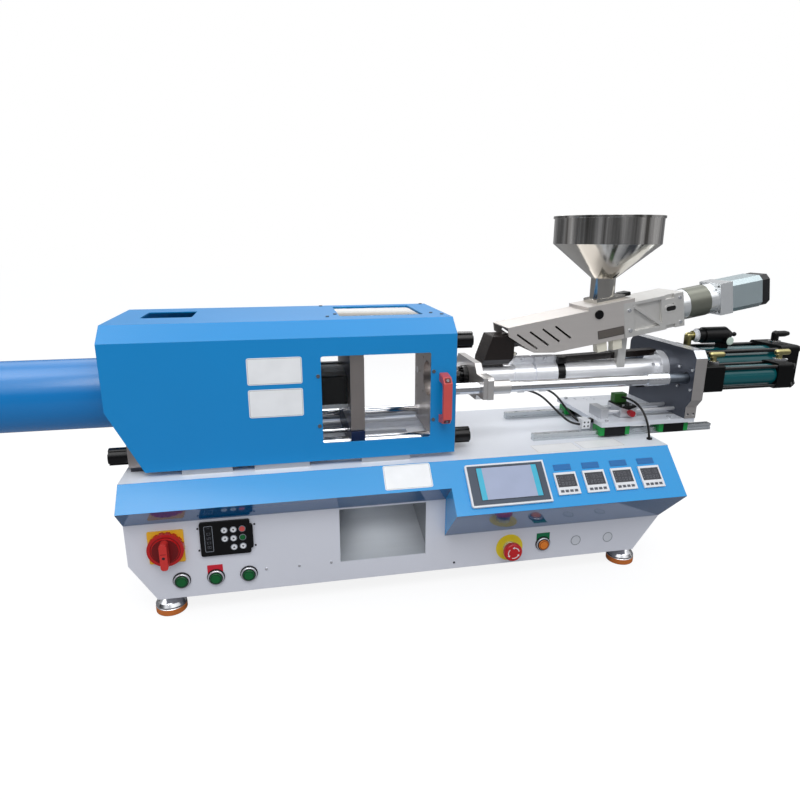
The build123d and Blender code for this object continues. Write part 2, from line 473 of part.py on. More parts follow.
# --------------------------------------------------------------------- barrel
br = fuse(cx(AX_Y, AX_Z, 22.8, FPX[1], 900), cx(AX_Y, AX_Z, 24.5, 896, 1134), cx(AX_Y, AX_Z, 43, 1132, RPX[0]))
br = cut(br, cx(AX_Y, AX_Z, ROD_R + RUN, FPX[1] - 1, RPX[0] + 1), cy(1122, AX_Z + 13, 4.5, 140, AX_Y))
node("barrel", br)
bands = []
for a, b in ((774, 820), (825, 877)):
    r = cut(cx(AX_Y, AX_Z, 29, a, b), cx(AX_Y, AX_Z, 22.8, a - 1, b + 1))
    m = (a + b) / 2 - 2
    # clamp strip along the band: a recessed web under a wider bar, split and screwed
    r = fuse(r, bx(a, b, AX_Y - 10, AX_Y + 10, AX_Z + 22, AX_Z + 34), bx(a, b, AX_Y - 12, AX_Y + 12, AX_Z + 33, AX_Z + 41))
    r = cut(r, bx(a - 1, b + 1, AX_Y - 1.5, AX_Y + 1.5, AX_Z + 31, AX_Z + 42), cy(m, AX_Z + 37, 3, AX_Y - 20, AX_Y + 20),
            bx(m - 5, m + 5, AX_Y - 13, AX_Y - 7, AX_Z + 31, AX_Z + 42))
    r = cut(r, cx(AX_Y, AX_Z, 22.8, a - 1, b + 1))
    bands.append(r)
    bands.append(cy(m, AX_Z + 37, 3, AX_Y - 15, AX_Y + 13))
node("heater_bands", bands)
nz = fuse(cx(AX_Y, AX_Z, 26, 654, FPX[0]), cx(AX_Y, AX_Z, 15.5, 598, 654),
          Pos(591.5, AX_Y, AX_Z) * Rot(0, 90, 0) * Cone(6, 15.5, 13))
nz = cut(nz, cx(AX_Y, AX_Z, 1.6, 580, 612), cx(AX_Y, AX_Z, 8, 612, FPX[0] + 1))
node("nozzle", nz)
nb = [cx(AX_Y + 20.5 * math.cos(math.radians(60 * i + 30)), AX_Z + 20.5 * math.sin(math.radians(60 * i + 30)), 3.6, 648, 654) for i in range(6)]
node("machine_screws", nb)

# melt block and feed tube
mb = pxz([(692, 452), (757, 452), (765, 470), (765, 516), (715, 516)], 140, 204)
mb = cut(mb, pyz([(139, 465), (139, 451), (151, 451)], 680, 770), pyz([(205, 465), (205, 451), (193, 451)], 680, 770))
mb = fuse(mb, bx(703, 750, 165, 179, 436, 460), fcyl(17, fs(760), fs(1014)))
mb = cut(mb, cx(AX_Y, AX_Z, 22.8, 670, 780))
mb = cut(mb, fcyl(12.0, fs(744), fs(1020)), cz(730, AX_Y, 6, 430, 505), fbox(fs(975), fs(1005), -11, 11, 8, 20))
mb = cut(mb, pxz([(744, 480), (728, 480), (728, 505), (744, 505)], AX_Y - 6, AX_Y + 6))
collar = cut(cx(AX_Y, AX_Z, 28, 877, 896), cx(AX_Y, AX_Z, 22.8, 870, 900))
collar = fuse(collar, bx(877, 896, 150, 184, 447, 462))
collar = cut(collar, cx(AX_Y, AX_Z, 22.8, 870, 900))
duct = cut(pxz([(896, 447), (1132, 456), (1132, 470), (896, 461)], 164, 188), cx(AX_Y, AX_Z, 24.5, 890, 1160), cx(AX_Y, AX_Z, 43, 1128, 1140))
node("melt_block", mb)
node("melt_block", collar)
node("melt_block", duct)

# --------------------------------------------------------------------- shroud
SP = [(742, 536.7), (745, 517.5), (805.7, 479.8), (854.2, 478.5), (1022.5, 505.7), (1014, 583.2)]
sh = pxz(SP, 125, 219)
ii = inset(SP, 2.0)
sh = cut(sh, pxz(ii, 127, 217))
sh = cut(sh, pxz([(730, 534.2), (730, 500), (805, 481), (806, 485), (749, 520.5), (746.5, 534.0)], 127, 217))
for i in range(4):
    t = i / 3.0
    ax_, az_ = 764 + t * (852.4 - 764), 521.6 + t * (537.3 - 521.6)
    bx2, bz2 = 813 + t * (890.9 - 813), 488.3 + t * (509.9 - 488.3)
    L = math.hypot(bx2 - ax_, bz2 - az_)
    ang = math.degrees(math.atan2(bz2 - az_, bx2 - ax_))
    sh = cut(sh, Pos((ax_ + bx2) / 2, 172, (az_ + bz2) / 2) * Rot(0, -ang, 0) * Box(L, 110, 4.2))
sh = cut(sh, fcyl(17.0, fs(744), fs(1030)), cz(HOP_X, AX_Y, 24, 560, 600), fbox(fs(1018), 60, -60, 60, -60, 60))
node("feed_shroud", sh)
hp = fbox(fs(936), fs(1046), -47, 47, 39.0, 47)
hp = cut(hp, cz(HOP_X, AX_Y, 24, 560, 620))
node("feed_shroud", hp)
thr = cut(cz(HOP_X, AX_Y, 26.5, 545, 577), cz(HOP_X, AX_Y, 24, 540, 600), fbox(-60, 60, -40, 40, 36.9, 60), fcyl(17, -80, 60), fbox(fs(1018), 60, -40, 40, -40, 60))
node("feed_shroud", thr)

# --------------------------------------------------------------------- hopper
T = 1.6
prof = [(27, 585), (27, HOP_NECK), (HOP_R, HOP_CONE), (HOP_R, HOP_TOP), (HOP_R - T, HOP_TOP), (HOP_R - T, HOP_CONE + 0.5),
        (27 - T, HOP_NECK + 0.9), (27 - T, 585)]
hw = Wire.make_polygon([Vector(HOP_X + a, AX_Y, b) for a, b in prof], close=True)
hop = Part(Solid.revolve(Face(hw), 360, Axis((HOP_X, AX_Y, 0), (0, 0, 1))).wrapped)
rim = cut(cz(HOP_X, AX_Y, HOP_R + 2.5, HOP_TOP - 5, HOP_TOP), cz(HOP_X, AX_Y, HOP_R - 0.2, HOP_TOP - 6, HOP_TOP + 1))
hop = fuse(hop, rim)
hop = cut(hop, fbox(-100, 100, -60, 60, 20, 56))
house = cut(fbox(-36, 33, -31, 31, 47, 56), cz(HOP_X, AX_Y, 24, 560, 620))
slot = fbox(-30.1, 60, -26 - 0.1, 26 + 0.1, 50 - 0.1, 53 + 0.1)
hop = fuse(hop, house)
hop = cut(hop, slot, cz(HOP_X, AX_Y, 24, 560, 625))
node("hopper", hop)
gate = fbox(-30, 36, -26, 26, 50, 53)
node("hopper_gate", gate)
gh = fbox(36, 58, -14, 14, 48.2, 57)
gh = fillet(gh.edges(), 2)
node("hopper_gate", gh)

# ---------------------------------------------------- cast bracket and motor
bk = fbox(fs(1018), fs(1165), -47, 47, -39, 39)
bk = cut(bk, fbox(fs(1042), fs(1110), -60, -39, -27, 32), fbox(fs(1042), fs(1110), 39, 60, -27, 32),
         fcyl(20, fs(1010), fs(1170)), fbox(fs(1120), fs(1142), -60, -40, 30, 40), fbox(fs(1120), fs(1142), -60, -40, -40, -30))
rib = FEED * Pos(fs(1076), -43, 2) * Rot(0, 40, 0) * Box(88, 8, 7)
rib = rib & fbox(fs(1042), fs(1110), -47, -38, -27, 32)
ov = FEED * Pos(fs(1131), -44, 12) * Rot(0, -10, 0) * Box(22, 10, 8)
bk = fuse(cut(bk, ov), rib)
col = cut(bx(1025, 1045, 150, 194, 430, 520), cx(AX_Y, AX_Z, 24.5, 1000, 1100), fbox(-60, 200, -60, 60, -39, 60),
          pxz([(896, 447), (1132, 456), (1132, 470), (896, 461)], 164, 188))
node("feed_bracket", bk)
node("feed_bracket", col)
node("machine_screws", [FEED * cy(fs(x), w, 4, -50, -47) for x in (1031,) for w in (22, -24)] +
     [FEED * cy(fs(x), w, 3.4, -50, -47) for x in (1155,) for w in (28, -28)] +
     [FEED * cy(fs(959), 27, 10, -50, -47)])

gear = fcyl(36.5, fs(1192), fs(1244))
s0, s1, s2, s3 = fs(1266), fs(1297), fs(1374), fs(1394)
fl = fbox(s0, s1, -37, 37, -37, 37)
for a, b in quad(lambda p, q: (p * 29.5, q * 29.5)):
    fl = cut(fl, fcyl(3.5, s0 - 1, s1 + 1, a, b))
c = 11
octo = [(-37, -37 + c), (-37 + c, -37), (37 - c, -37), (37, -37 + c), (37, 37 - c), (37 - c, 37), (-37 + c, 37), (-37, 37 - c)]
mot = FEED * pyz(octo, s1, s2)
mcap = FEED * pyz([(a * 0.97, b * 0.97) for a, b in octo], s2, s3)
bore = fcyl(8 + RUN, fs(1160), fs(1250))
node("feed_motor", cut(gear, bore))
node("feed_motor", cut(fcyl(35.5, fs(1165), fs(1192)), bore), cut(fcyl(35.5, fs(1244), fs(1266)), bore), fl)
node("feed_motor", mot, )
node("feed_motor", mcap)
fsr = fuse(fcyl(8, fs(790), fs(1250)), fcyl(11.6, fs(1010), fs(1030)))
for i in range(15):
    fsr = fuse(fsr, fcyl(11.7, fs(792) + 14 * i, fs(792) + 14 * i + 3.5))
node("feed_screw", fsr)
node("plunger", fuse(cx(AX_Y, AX_Z, ROD_R, 780, 1310), cx(AX_Y, AX_Z, 38 - RUN, 1290, 1312)))

# ------------------------------------------------------------------ stop unit
sp = cut(bx(962, 981, 92, 146, 328, 350), *[cx(y, 341, 4.5, 960, 985) for y in (100, 138)])
node("stop_guide", sp, bx(1056, RPX[0], 95, 110, 328, 328.8))
node("stop_guide", [cx(y, 341, 4.5, 962, RPX[0]) for y in (100, 138)])
sb = fuse(bx(1010, 1050, 90, 148, 329, 352))
sb = cut(sb, *[cx(y, 341, 4.5 + RUN, 1000, 1060) for y in (100, 138)], cy(1030, 341, 5 + RUN, 80, 94))
sb = cut(sb, bx(1011, 1049, 91, 147, 350, 353))
node("stop_block", sb)
node("stop_block", bx(1011, 1049, 91, 147, 350, 354.5), cz(1021, 100, 3.5, 354.5, 356.5), cz(1040, 100, 3.5, 354.5, 356.5))
kb = fuse(cy(1030, 341, 7.2, 73, 84), cy(1030, 341, 5, 84, 94))
for i in range(12):
    a = math.radians(30 * i)
    kb = cut(kb, cy(1030 + 7.8 * math.cos(a), 341 + 7.8 * math.sin(a), 1.1, 72, 84.5))
node("stop_knob", kb)
node("carriage_electrics", bx(1014, 1044, 126, 144, 354.5, 375), bx(917, 937, 90, 116, 308, 328), bx(937, 948, 96, 110, 319, 327))
node("carriage_electrics", fbox(fs(952), fs(975), -42, -22, -60, -39), fbox(fs(990), fs(1012), -42, -22, -62, -39))
node("carriage_electrics", cut(bx(1080, 1131, 146, 166, 383, 404), cx(AX_Y, AX_Z, 24.5, 1070, 1150)))

# ------------------------------------------------------------- free cables
# terminals under the heater bands and a small foot where the third cable meets the deck
node("carriage_electrics", [cut(bx(x - 8, x + 8, 163, 181, 380, 397), cx(AX_Y, AX_Z, 29.2, x - 9, x + 9)) for x in (797, 850)],
     cz(1057, 42, 6, 290.4, 293.6))
CABLE_R = 2.5
CABLES = {
    "cable_a": [(803, 169, 386), (822, 160, 383), (842, 146, 373), (858, 132, 356), (873, 119, 339), (889, 108, 324), (904, 102.5, 317), (919, 101.5, 315)],
    "cable_b": [(856, 169, 385), (870, 162, 380), (883, 150, 368), (893, 137, 351), (903, 124, 335.5), (913, 113.5, 324), (922, 107, 317)],
    "cable_c": [(1032, 129, 367), (1036, 113, 368), (1041, 97, 366), (1046, 81, 360), (1050, 66, 349), (1053, 55, 333.5), (1055.5, 47, 315), (1057, 42, 291)],
}
for nm, pts in CABLES.items():
    vs = [Vector(*p) for p in pts]
    radii = []
    for i in range(1, len(vs) - 1):
        a, b = vs[i] - vs[i - 1], vs[i + 1] - vs[i]
        radii.append(0.45 * min(a.length, b.length) / math.tan(math.radians(a.get_angle(b)) / 2))
    line = FilletPolyline(*vs, radius=radii)
    tube_ = sweep(Plane(origin=vs[0], z_dir=vs[1] - vs[0]) * Circle(CABLE_R), path=line)
    print(nm, "length %.1f" % line.length, "radii", [round(q, 1) for q in radii], "volume ratio %.3f" % (tube_.volume / (math.pi * CABLE_R ** 2 * line.length)))
    node(nm, tube_)

os.makedirs("parts", exist_ok=True)
for nm, sol in NODES.items():
    moved = [q.moved(Location((-BASE_X, -BASE_Y, 0))) for q in sol]
    shape = moved[0] if len(moved) == 1 else Compound(children=moved)
    shape.label = nm
    export_step(shape, os.path.join("parts", nm + ".step"))
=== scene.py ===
import bpy
import bmesh
import math
from mathutils import Vector, Matrix


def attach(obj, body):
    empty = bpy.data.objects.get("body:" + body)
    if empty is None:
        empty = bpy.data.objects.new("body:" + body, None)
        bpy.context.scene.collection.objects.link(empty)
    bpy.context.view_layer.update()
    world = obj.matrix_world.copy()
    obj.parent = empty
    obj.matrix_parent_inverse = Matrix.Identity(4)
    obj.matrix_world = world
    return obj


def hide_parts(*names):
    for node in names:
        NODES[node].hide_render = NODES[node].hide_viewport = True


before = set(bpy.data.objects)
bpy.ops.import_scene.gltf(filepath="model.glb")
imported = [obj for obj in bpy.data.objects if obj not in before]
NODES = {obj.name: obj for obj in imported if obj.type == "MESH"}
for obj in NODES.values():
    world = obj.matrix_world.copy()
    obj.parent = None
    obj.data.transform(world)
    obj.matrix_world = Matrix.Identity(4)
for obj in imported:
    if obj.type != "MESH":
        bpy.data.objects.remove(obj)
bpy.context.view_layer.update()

BX, BY = 585.5, 127.25


def W(x, y, z):
    # working millimetres to frame metres
    return Vector(((x - BX) / 1000.0, (y - BY) / 1000.0, z / 1000.0))


# ---------------------------------------------------------------- camera
cam_data = bpy.data.cameras.new("camera")
cam_data.sensor_width = 36.0
cam_data.lens = 599.78 / 800.0 * 36.0
cam_data.clip_start = 0.01
cam_data.clip_end = 50.0
cam = bpy.data.objects.new("camera", cam_data)
bpy.context.collection.objects.link(cam)
right = Vector((0.9805963, -0.1960337, 0.0012984))
up = Vector((0.0505334, 0.2591656, 0.9645100))
fwd = Vector((0.1894130, 0.9457294, -0.2640430))
loc = W(259.635, -1096.133, 728.700)
cam.matrix_world = Matrix(((right.x, up.x, -fwd.x, loc.x), (right.y, up.y, -fwd.y, loc.y),
                           (right.z, up.z, -fwd.z, loc.z), (0, 0, 0, 1)))
scene = bpy.context.scene
scene.camera = cam
scene.view_settings.view_transform = "Standard"


# ------------------------------------------------------------- materials
def lin(r, g, b):
    return tuple(((c / 255.0) / 12.92 if c / 255.0 <= 0.04045 else ((c / 255.0 + 0.055) / 1.055) ** 2.4) for c in (r, g, b)) + (1.0,)


class M:
    def __init__(self, name, col, metal=0.0, rough=0.4, spec=0.5, coat=0.0, bevel=0.0006):
        self.mat = bpy.data.materials.new(name)
        self.mat.use_nodes = True
        self.mat.diffuse_color = col
        nt = self.nt = self.mat.node_tree
        self.b = nt.nodes["Principled BSDF"]
        self.b.inputs["Base Color"].default_value = col
        self.b.inputs["Metallic"].default_value = metal
        self.b.inputs["Roughness"].default_value = rough
        self.b.inputs["Specular IOR Level"].default_value = spec
        self.b.inputs["Coat Weight"].default_value = coat
        self.b.inputs["Coat Roughness"].default_value = 0.12
        self.col, self.rough, self.bevel = col, rough, bevel
        self.tc = nt.nodes.new("ShaderNodeTexCoord")
        self.obj = self.tc.outputs["Object"]
        self.normal = None
        if bevel:
            bv = nt.nodes.new("ShaderNodeBevel")
            bv.samples = 4
            bv.inputs["Radius"].default_value = bevel
            self.normal = bv.outputs["Normal"]
            nt.links.new(self.normal, self.b.inputs["Normal"])

    def mapping(self, scale, rot=(0, 0, 0)):
        n = self.nt.nodes.new("ShaderNodeMapping")
        n.inputs["Scale"].default_value = scale
        n.inputs["Rotation"].default_value = rot
        self.nt.links.new(self.obj, n.inputs["Vector"])
        return n.outputs["Vector"]

    def noise(self, scale, detail=3.0, rough=0.5, vec=None):
        n = self.nt.nodes.new("ShaderNodeTexNoise")
        n.inputs["Scale"].default_value = scale
        n.inputs["Detail"].default_value = detail
        n.inputs["Roughness"].default_value = rough
        self.nt.links.new(vec or self.obj, n.inputs["Vector"])
        return n.outputs["Fac"]

    def voronoi(self, scale, vec=None):
        n = self.nt.nodes.new("ShaderNodeTexVoronoi")
        n.inputs["Scale"].default_value = scale
        self.nt.links.new(vec or self.obj, n.inputs["Vector"])
        return n.outputs["Distance"]

    def remap(self, fac, a, b, lo=0.3, hi=0.7):
        n = self.nt.nodes.new("ShaderNodeMapRange")
        n.inputs["From Min"].default_value = lo
        n.inputs["From Max"].default_value = hi
        n.inputs["To Min"].default_value = a
        n.inputs["To Max"].default_value = b
        self.nt.links.new(fac, n.inputs["Value"])
        return n.outputs["Result"]

    def mixcol(self, fac, c1, c2):
        n = self.nt.nodes.new("ShaderNodeMix")
        n.data_type = "RGBA"
        for sock, c in ((6, c1), (7, c2)):
            if hasattr(c, "default_value") or hasattr(c, "node"):
                self.nt.links.new(c, n.inputs[sock])
            else:
                n.inputs[sock].default_value = c
        if hasattr(fac, "node"):
            self.nt.links.new(fac, n.inputs[0])
        else:
            n.inputs[0].default_value = fac
        return n.outputs[2]

    def bump(self, height, strength, dist):
        n = self.nt.nodes.new("ShaderNodeBump")
        n.inputs["Strength"].default_value = strength
        n.inputs["Distance"].default_value = dist
        self.nt.links.new(height, n.inputs["Height"])
        if self.normal is not None:
            self.nt.links.new(self.normal, n.inputs["Normal"])
        self.normal = n.outputs["Normal"]
        self.nt.links.new(self.normal, self.b.inputs["Normal"])

    def setcol(self, sock):
        self.nt.links.new(sock, self.b.inputs["Base Color"])

    def setrough(self, sock):
        self.nt.links.new(sock, self.b.inputs["Roughness"])

    def math(self, op, a, b=None, c=None):
        n = self.nt.nodes.new("ShaderNodeMath")
        n.operation = op
        for i, v in enumerate((a, b, c)):
            if v is None:
                continue
            if hasattr(v, "node"):
                self.nt.links.new(v, n.inputs[i])
            else:
                n.inputs[i].default_value = v
        return n.outputs[0]


def shade(c, k):
    return (min(c[0] * k, 1), min(c[1] * k, 1), min(c[2] * k, 1), 1.0)


def paint(name, col, rough=0.36, coat=0.12, peel=0.03, bevel=0.0010, spec=0.30, vary=0.015):
    m = M(name, col, rough=rough, spec=spec, coat=coat, bevel=bevel)
    big = m.noise(5.0, 2, 0.5)
    m.setcol(m.mixcol(m.remap(big, 0.0, 1.0), shade(col, 1 - vary), shade(col, 1 + vary)))
    if peel:
        m.bump(m.noise(700.0, 2, 0.5), peel, 0.0003)
    return m


def brushed(name, col, rough=0.30, axis=(1, 1, 1), fine=1.0, aniso=0.3, var=0.05, bevel=0.0006, bump=0.05, smudge=0.10):
    # axis gives the stretch: small numbers run along the grain
    m = M(name, col, metal=1.0, rough=rough, bevel=bevel)
    v = m.mapping(axis)
    g = m.noise(fine, 3, 0.55, v)
    c = m.mixcol(m.remap(g, 0, 1, 0.25, 0.75), shade(col, 1 - var), shade(col, 1 + var * 0.8))
    sm = m.noise(14.0, 4, 0.6)
    m.setcol(m.mixcol(m.remap(sm, 0.0, smudge * 3, 0.45, 0.75), c, shade(col, 0.80)))
    m.setrough(m.remap(g, rough - 0.03, rough + 0.05))
    if bump:
        m.bump(g, bump, 0.0002)
    m.b.inputs["Anisotropic"].default_value = aniso
    return m


def chrome(name, col, rough=0.09, bevel=0.0006, dark=0.86):
    m = M(name, col, metal=1.0, rough=rough, bevel=bevel)
    sm = m.noise(22.0, 4, 0.6)
    m.setcol(m.mixcol(m.remap(sm, 0, 0.5, 0.4, 0.8), col, shade(col, dark)))
    m.setrough(m.remap(sm, rough, rough + 0.05))
    return m


def satin(name, col, rough=0.34, metal=0.55, axis=(20, 200, 200), var=0.025, bevel=0.0006, bump=0.0, spec=0.5):
    # machined or ground metal seen as a soft even sheen
    m = M(name, col, metal=metal, rough=rough, spec=spec, bevel=bevel)
    g = m.noise(1.0, 2, 0.5, m.mapping(axis))
    big = m.noise(9.0, 3, 0.5)
    c = m.mixcol(m.remap(g, 0, 1, 0.25, 0.75), shade(col, 1 - var), shade(col, 1 + var))
    m.setcol(m.mixcol(m.remap(big, 0.0, 0.25, 0.45, 0.75), c, shade(col, 0.88)))
    if bump:
        m.bump(m.noise(90.0, 3, 0.5), bump, 0.0002)
    return m


def plastic(name, col, rough=0.42, grain=0.05, scale=1200.0, coat=0.0, bevel=0.0006, spec=0.35):
    m = M(name, col, rough=rough, spec=spec, coat=coat, bevel=bevel)
    m.setcol(m.mixcol(m.remap(m.noise(30.0, 2, 0.5), 0, 1), shade(col, 0.97), shade(col, 1.03)))
    if grain:
        m.bump(m.noise(scale, 2, 0.5), grain, 0.0002)
    return m


def cast(name, col, rough=0.5, metal=0.3, grain=0.25, scale=420.0, bevel=0.0012, vary=0.06):
    m = M(name, col, metal=metal, rough=rough, bevel=bevel)
    n1 = m.noise(scale, 4, 0.6)
    n2 = m.noise(12.0, 4, 0.6)
    m.setcol(m.mixcol(m.remap(n2, 0, 1), shade(col, 1 - vary), shade(col, 1 + vary)))
    m.bump(n1, grain, 0.0004)
    return m


BLUE = lin(0, 137, 207)
WHITE = lin(220, 222, 231)
mt = {}
mt["white"] = paint("white_powder_coat", WHITE, 0.45, 0.0, 0.02, 0.0010, 0.25)
mt["deck"] = paint("white_deck", lin(236, 240, 247), 0.30, 0.0, 0.02, 0.0, 0.45)
mt["blue"] = paint("blue_paint", BLUE, 0.32, 0.0, 0.02, 0.0010, 0.50)
mt["blue_console"] = paint("blue_console_paint", lin(0, 148, 217), 0.16, 0.12, 0.01, 0.0010, 0.50)
# darker, glossier copy of the console blue for its down-facing faces: painted shade
mt["blue_under_shade"] = paint("blue_console_underside_painted_shade", lin(0, 84, 138), 0.06, 0.50, 0.01, 0.0010, 0.7)
# darker copy of the chute stainless for its side walls: painted shade
mt["stainless_side_shade"] = satin("stainless_chute_side_painted_shade", lin(150, 154, 160), 0.30, 0.60, (6, 120, 120))
mt["blue_cyl"] = paint("blue_cylinder_paint", lin(0, 124, 198), 0.24, 0.10, 0.02, 0.0010, 0.60)
mt["navy"] = paint("dark_blue_paint", lin(24, 40, 78), 0.4, 0.1)
mt["grey_box"] = paint("grey_enamel", lin(120, 124, 130), 0.4, 0.1)
mt["stainless"] = satin("stainless_chute", lin(190, 195, 201), 0.42, 0.65, (6, 60, 60), 0.03)
mt["stop_al"] = satin("milled_block", lin(196, 198, 202), 0.34, 0.62, (20, 20, 20), 0.02)
mt["screw_lt"] = satin("bright_screw", lin(200, 203, 207), 0.22, 0.70, (60, 60, 60), 0.02, 0.0004)
mt["knob_red"] = plastic("knob_red", lin(150, 18, 32), 0.30, 0.03, 900, 0.2)
mt["shroud"] = satin("brushed_shroud", lin(216, 211, 207), 0.34, 0.62, (8, 120, 120), 0.02)
# the hopper's upright band gets vertical dark and bright streaks: painted reflections of the room
h = chrome("polished_hopper_painted_reflections", lin(240, 239, 234), 0.10, 0.0006, 0.90)
h.setcol(h.mixcol(h.remap(h.noise(1.0, 3, 0.6, h.mapping((46, 46, 1.0))), 0, 1, 0.36, 0.62), lin(118, 116, 112), lin(255, 254, 250)))
mt["hopper_band"] = h
mt["hopper"] = chrome("polished_hopper_cone", lin(214, 211, 204), 0.10, 0.0006, 0.88)
mt["platen"] = brushed("machined_platen", lin(184, 176, 172), 0.36, (60, 60, 12), 1.0, 0.2, 0.03)
mt["plate_al"] = satin("machined_aluminium", lin(232, 236, 243), 0.30, 0.30, (12, 60, 60), 0.012)
mt["front_plate"] = satin("ground_plate", lin(206, 204, 202), 0.28, 0.70, (40, 12, 40), 0.015)
mt["barrel"] = satin("turned_barrel", lin(250, 251, 255), 0.28, 0.50, (20, 6, 6), 0.008, spec=0.7)
mt["band"] = satin("heater_band_steel", lin(246, 248, 253), 0.30, 0.45, (60, 12, 12), 0.02, spec=0.6)
mt["rail"] = satin("ground_rail", lin(196, 201, 205), 0.26, 0.75, (8, 100, 100), 0.03)
mt["rail_light"] = brushed("light_runner", lin(190, 192, 196), 0.34, (8, 400, 400), 1.0, 0.3, 0.05)
mt["strip"] = brushed("dark_steel_strip", lin(74, 76, 84), 0.38, (10, 300, 300), 1.0, 0.3, 0.06)
mt["chrome"] = chrome("hard_chrome", lin(214, 216, 220), 0.08)
mt["sleeve"] = satin("plain_sleeve", lin(222, 225, 230), 0.20, 0.92, (20, 6, 6), 0.008)
mt["zinc"] = brushed("zinc_thread", lin(120, 128, 138), 0.38, (1500, 30, 30), 1.0, 0.1, 0.18, 0.0003, 0.4)
mt["screw"] = satin("zinc_screw", lin(120, 124, 130), 0.22, 0.80, (60, 60, 60), 0.02, 0.0004)
mt["black_ox"] = plastic("black_oxide", lin(6, 6, 8), 0.24, 0.03, 700, 0.0, 0.0008, 0.35)
mt["black_pl"] = plastic("black_plastic", lin(8, 8, 10), 0.38, 0.05, 1200.0, 0.0, 0.0006, 0.28)
mt["black_gloss"] = plastic("gloss_black", lin(16, 17, 21), 0.18, 0.0, 1200, 0.3)
mt["melt"] = plastic("heater_cover", lin(22, 14, 11), 0.22, 0.10, 500, 0.2, 0.0012, 0.5)
mt["bracket"] = satin("cast_bracket", lin(214, 213, 210), 0.36, 0.55, (60, 60, 60), 0.04, 0.0012, 0.12)
# lit and shaded copies of one steel plate: a dark copy for the large faces as painted shade, a bright copy for the top
# faces as painted highlight
mt["rear_plate"] = satin("rear_plate_face_painted_shade", lin(74, 79, 90), 0.34, 0.45, (30, 30, 30), 0.02)
mt["rear_edge"] = satin("machined_edge", lin(178, 174, 172), 0.32, 0.65, (30, 30, 200), 0.03)
mt["rear_top_highlight"] = satin("rear_plate_top_painted_highlight", lin(228, 231, 236), 0.26, 0.65, (30, 200, 30), 0.02)
mt["gear"] = satin("gearbox_grey", lin(116, 118, 108), 0.30, 0.45, (60, 60, 60), 0.02)
mt["ring"] = satin("motor_ring", lin(226, 229, 231), 0.24, 0.60, (30, 10, 10), 0.012)
mt["motor"] = satin("motor_body", lin(172, 186, 190), 0.32, 0.50, (40, 40, 40), 0.02)
mt["motor_cap"] = plastic("motor_end", lin(30, 31, 33), 0.45)
mt["teal"] = paint("teal_tube", lin(0, 84, 90), 0.18, 0.1, 0.0, 0.0010, 0.40)
mt["cyl_block"] = plastic("dark_block", lin(2, 3, 4), 0.42, 0.04, 700, 0.0, 0.0010, 0.18)
mt["tie_dark"] = plastic("dark_tie_rod", lin(10, 11, 13), 0.22, 0.0, 900, 0.1, 0.0006, 0.4)
mt["brass"] = brushed("brass", lin(172, 164, 116), 0.30, (60, 60, 60), 1.0, 0.1, 0.06)
mt["silver_nut"] = brushed("nickel_nut", lin(206, 207, 208), 0.22, (100, 100, 100), 1.0, 0.1, 0.06)
mt["red"] = plastic("red_plastic", lin(206, 82, 78), 0.34, 0.03, 900, 0.15)
mt["red_knob"] = plastic("red_knob", lin(186, 26, 28), 0.36, 0.04, 900, 0.1)
# darker and lighter copies of the knob red: recessed faces get painted shade, the front-most faces a painted highlight
mt["red_dark"] = plastic("red_knob_recess_painted_shade", lin(112, 14, 18), 0.45, 0.03, 900)
mt["red_lit"] = plastic("red_knob_painted_highlight", lin(206, 52, 48), 0.32, 0.03, 900, 0.15)
mt["estop"] = plastic("stop_red", lin(196, 26, 32), 0.25, 0.02, 900, 0.4)
mt["yellow"] = plastic("yellow_plate", lin(238, 214, 46), 0.40, 0.02)
mt["green_btn"] = plastic("green_lens", lin(8, 96, 44), 0.20, 0.0, 900, 0.3)
mt["green_edge"] = plastic("green_lens_edge", lin(4, 52, 34), 0.25, 0.0, 900, 0.3)
mt["orange_btn"] = plastic("orange_lens", lin(236, 132, 44), 0.22, 0.0, 900, 0.3)
mt["orange_edge"] = plastic("orange_lens_edge", lin(150, 60, 20), 0.25, 0.0, 900, 0.3)
mt["white_pl"] = plastic("white_plastic", lin(226, 228, 232), 0.40)
mt["plug_white"] = plastic("white_plug", lin(214, 217, 224), 0.42)
mt["grey_pl"] = plastic("grey_plastic", lin(198, 200, 205), 0.40)
mt["slate"] = plastic("slate_face", lin(54, 66, 82), 0.34)
mt["slate_dark"] = plastic("slate_edge", lin(36, 44, 56), 0.34)
mt["screen_c"] = plastic("screen_centre", lin(160, 170, 196), 0.22, 0.0, 900, 0.1)
mt["screen_cy"] = plastic("screen_side", lin(60, 176, 206), 0.22, 0.0, 900, 0.1)
mt["digit"] = plastic("display_digit", lin(104, 107, 114), 0.35, 0.0)
mt["digit_red"] = plastic("display_digit_low", lin(88, 90, 97), 0.35, 0.0)
mt["digit_dim"] = plastic("display_digit_dim", lin(138, 143, 152), 0.35, 0.0)
mt["tag_blue"] = plastic("blue_tag", lin(12, 100, 164), 0.35, 0.0)
mt["tag_red"] = plastic("red_tag", lin(206, 34, 54), 0.35, 0.0)
mt["tag_green"] = plastic("green_tag", lin(16, 118, 74), 0.35, 0.0)
mt["green_pl"] = plastic("green_seal", lin(20, 150, 66), 0.38, 0.05)
mt["green_dark"] = plastic("green_connector", lin(46, 98, 36), 0.42, 0.08)
mt["cream"] = plastic("ceramic", lin(222, 218, 202), 0.35, 0.03)
mt["pad"] = plastic("orange_pad", lin(206, 116, 52), 0.55, 0.12)
mt["dark_face"] = plastic("display_face", lin(8, 10, 14), 0.18, 0.0, 900, 0.15)
mt["ctrl_face"] = plastic("controller_window", lin(52, 54, 62), 0.20, 0.0, 900, 0.1)
mt["ctrl_key"] = plastic("controller_keys", lin(84, 88, 98), 0.40)
mt["plate_yellow"] = plastic("isolator_yellow", lin(243, 186, 44), 0.40, 0.02)
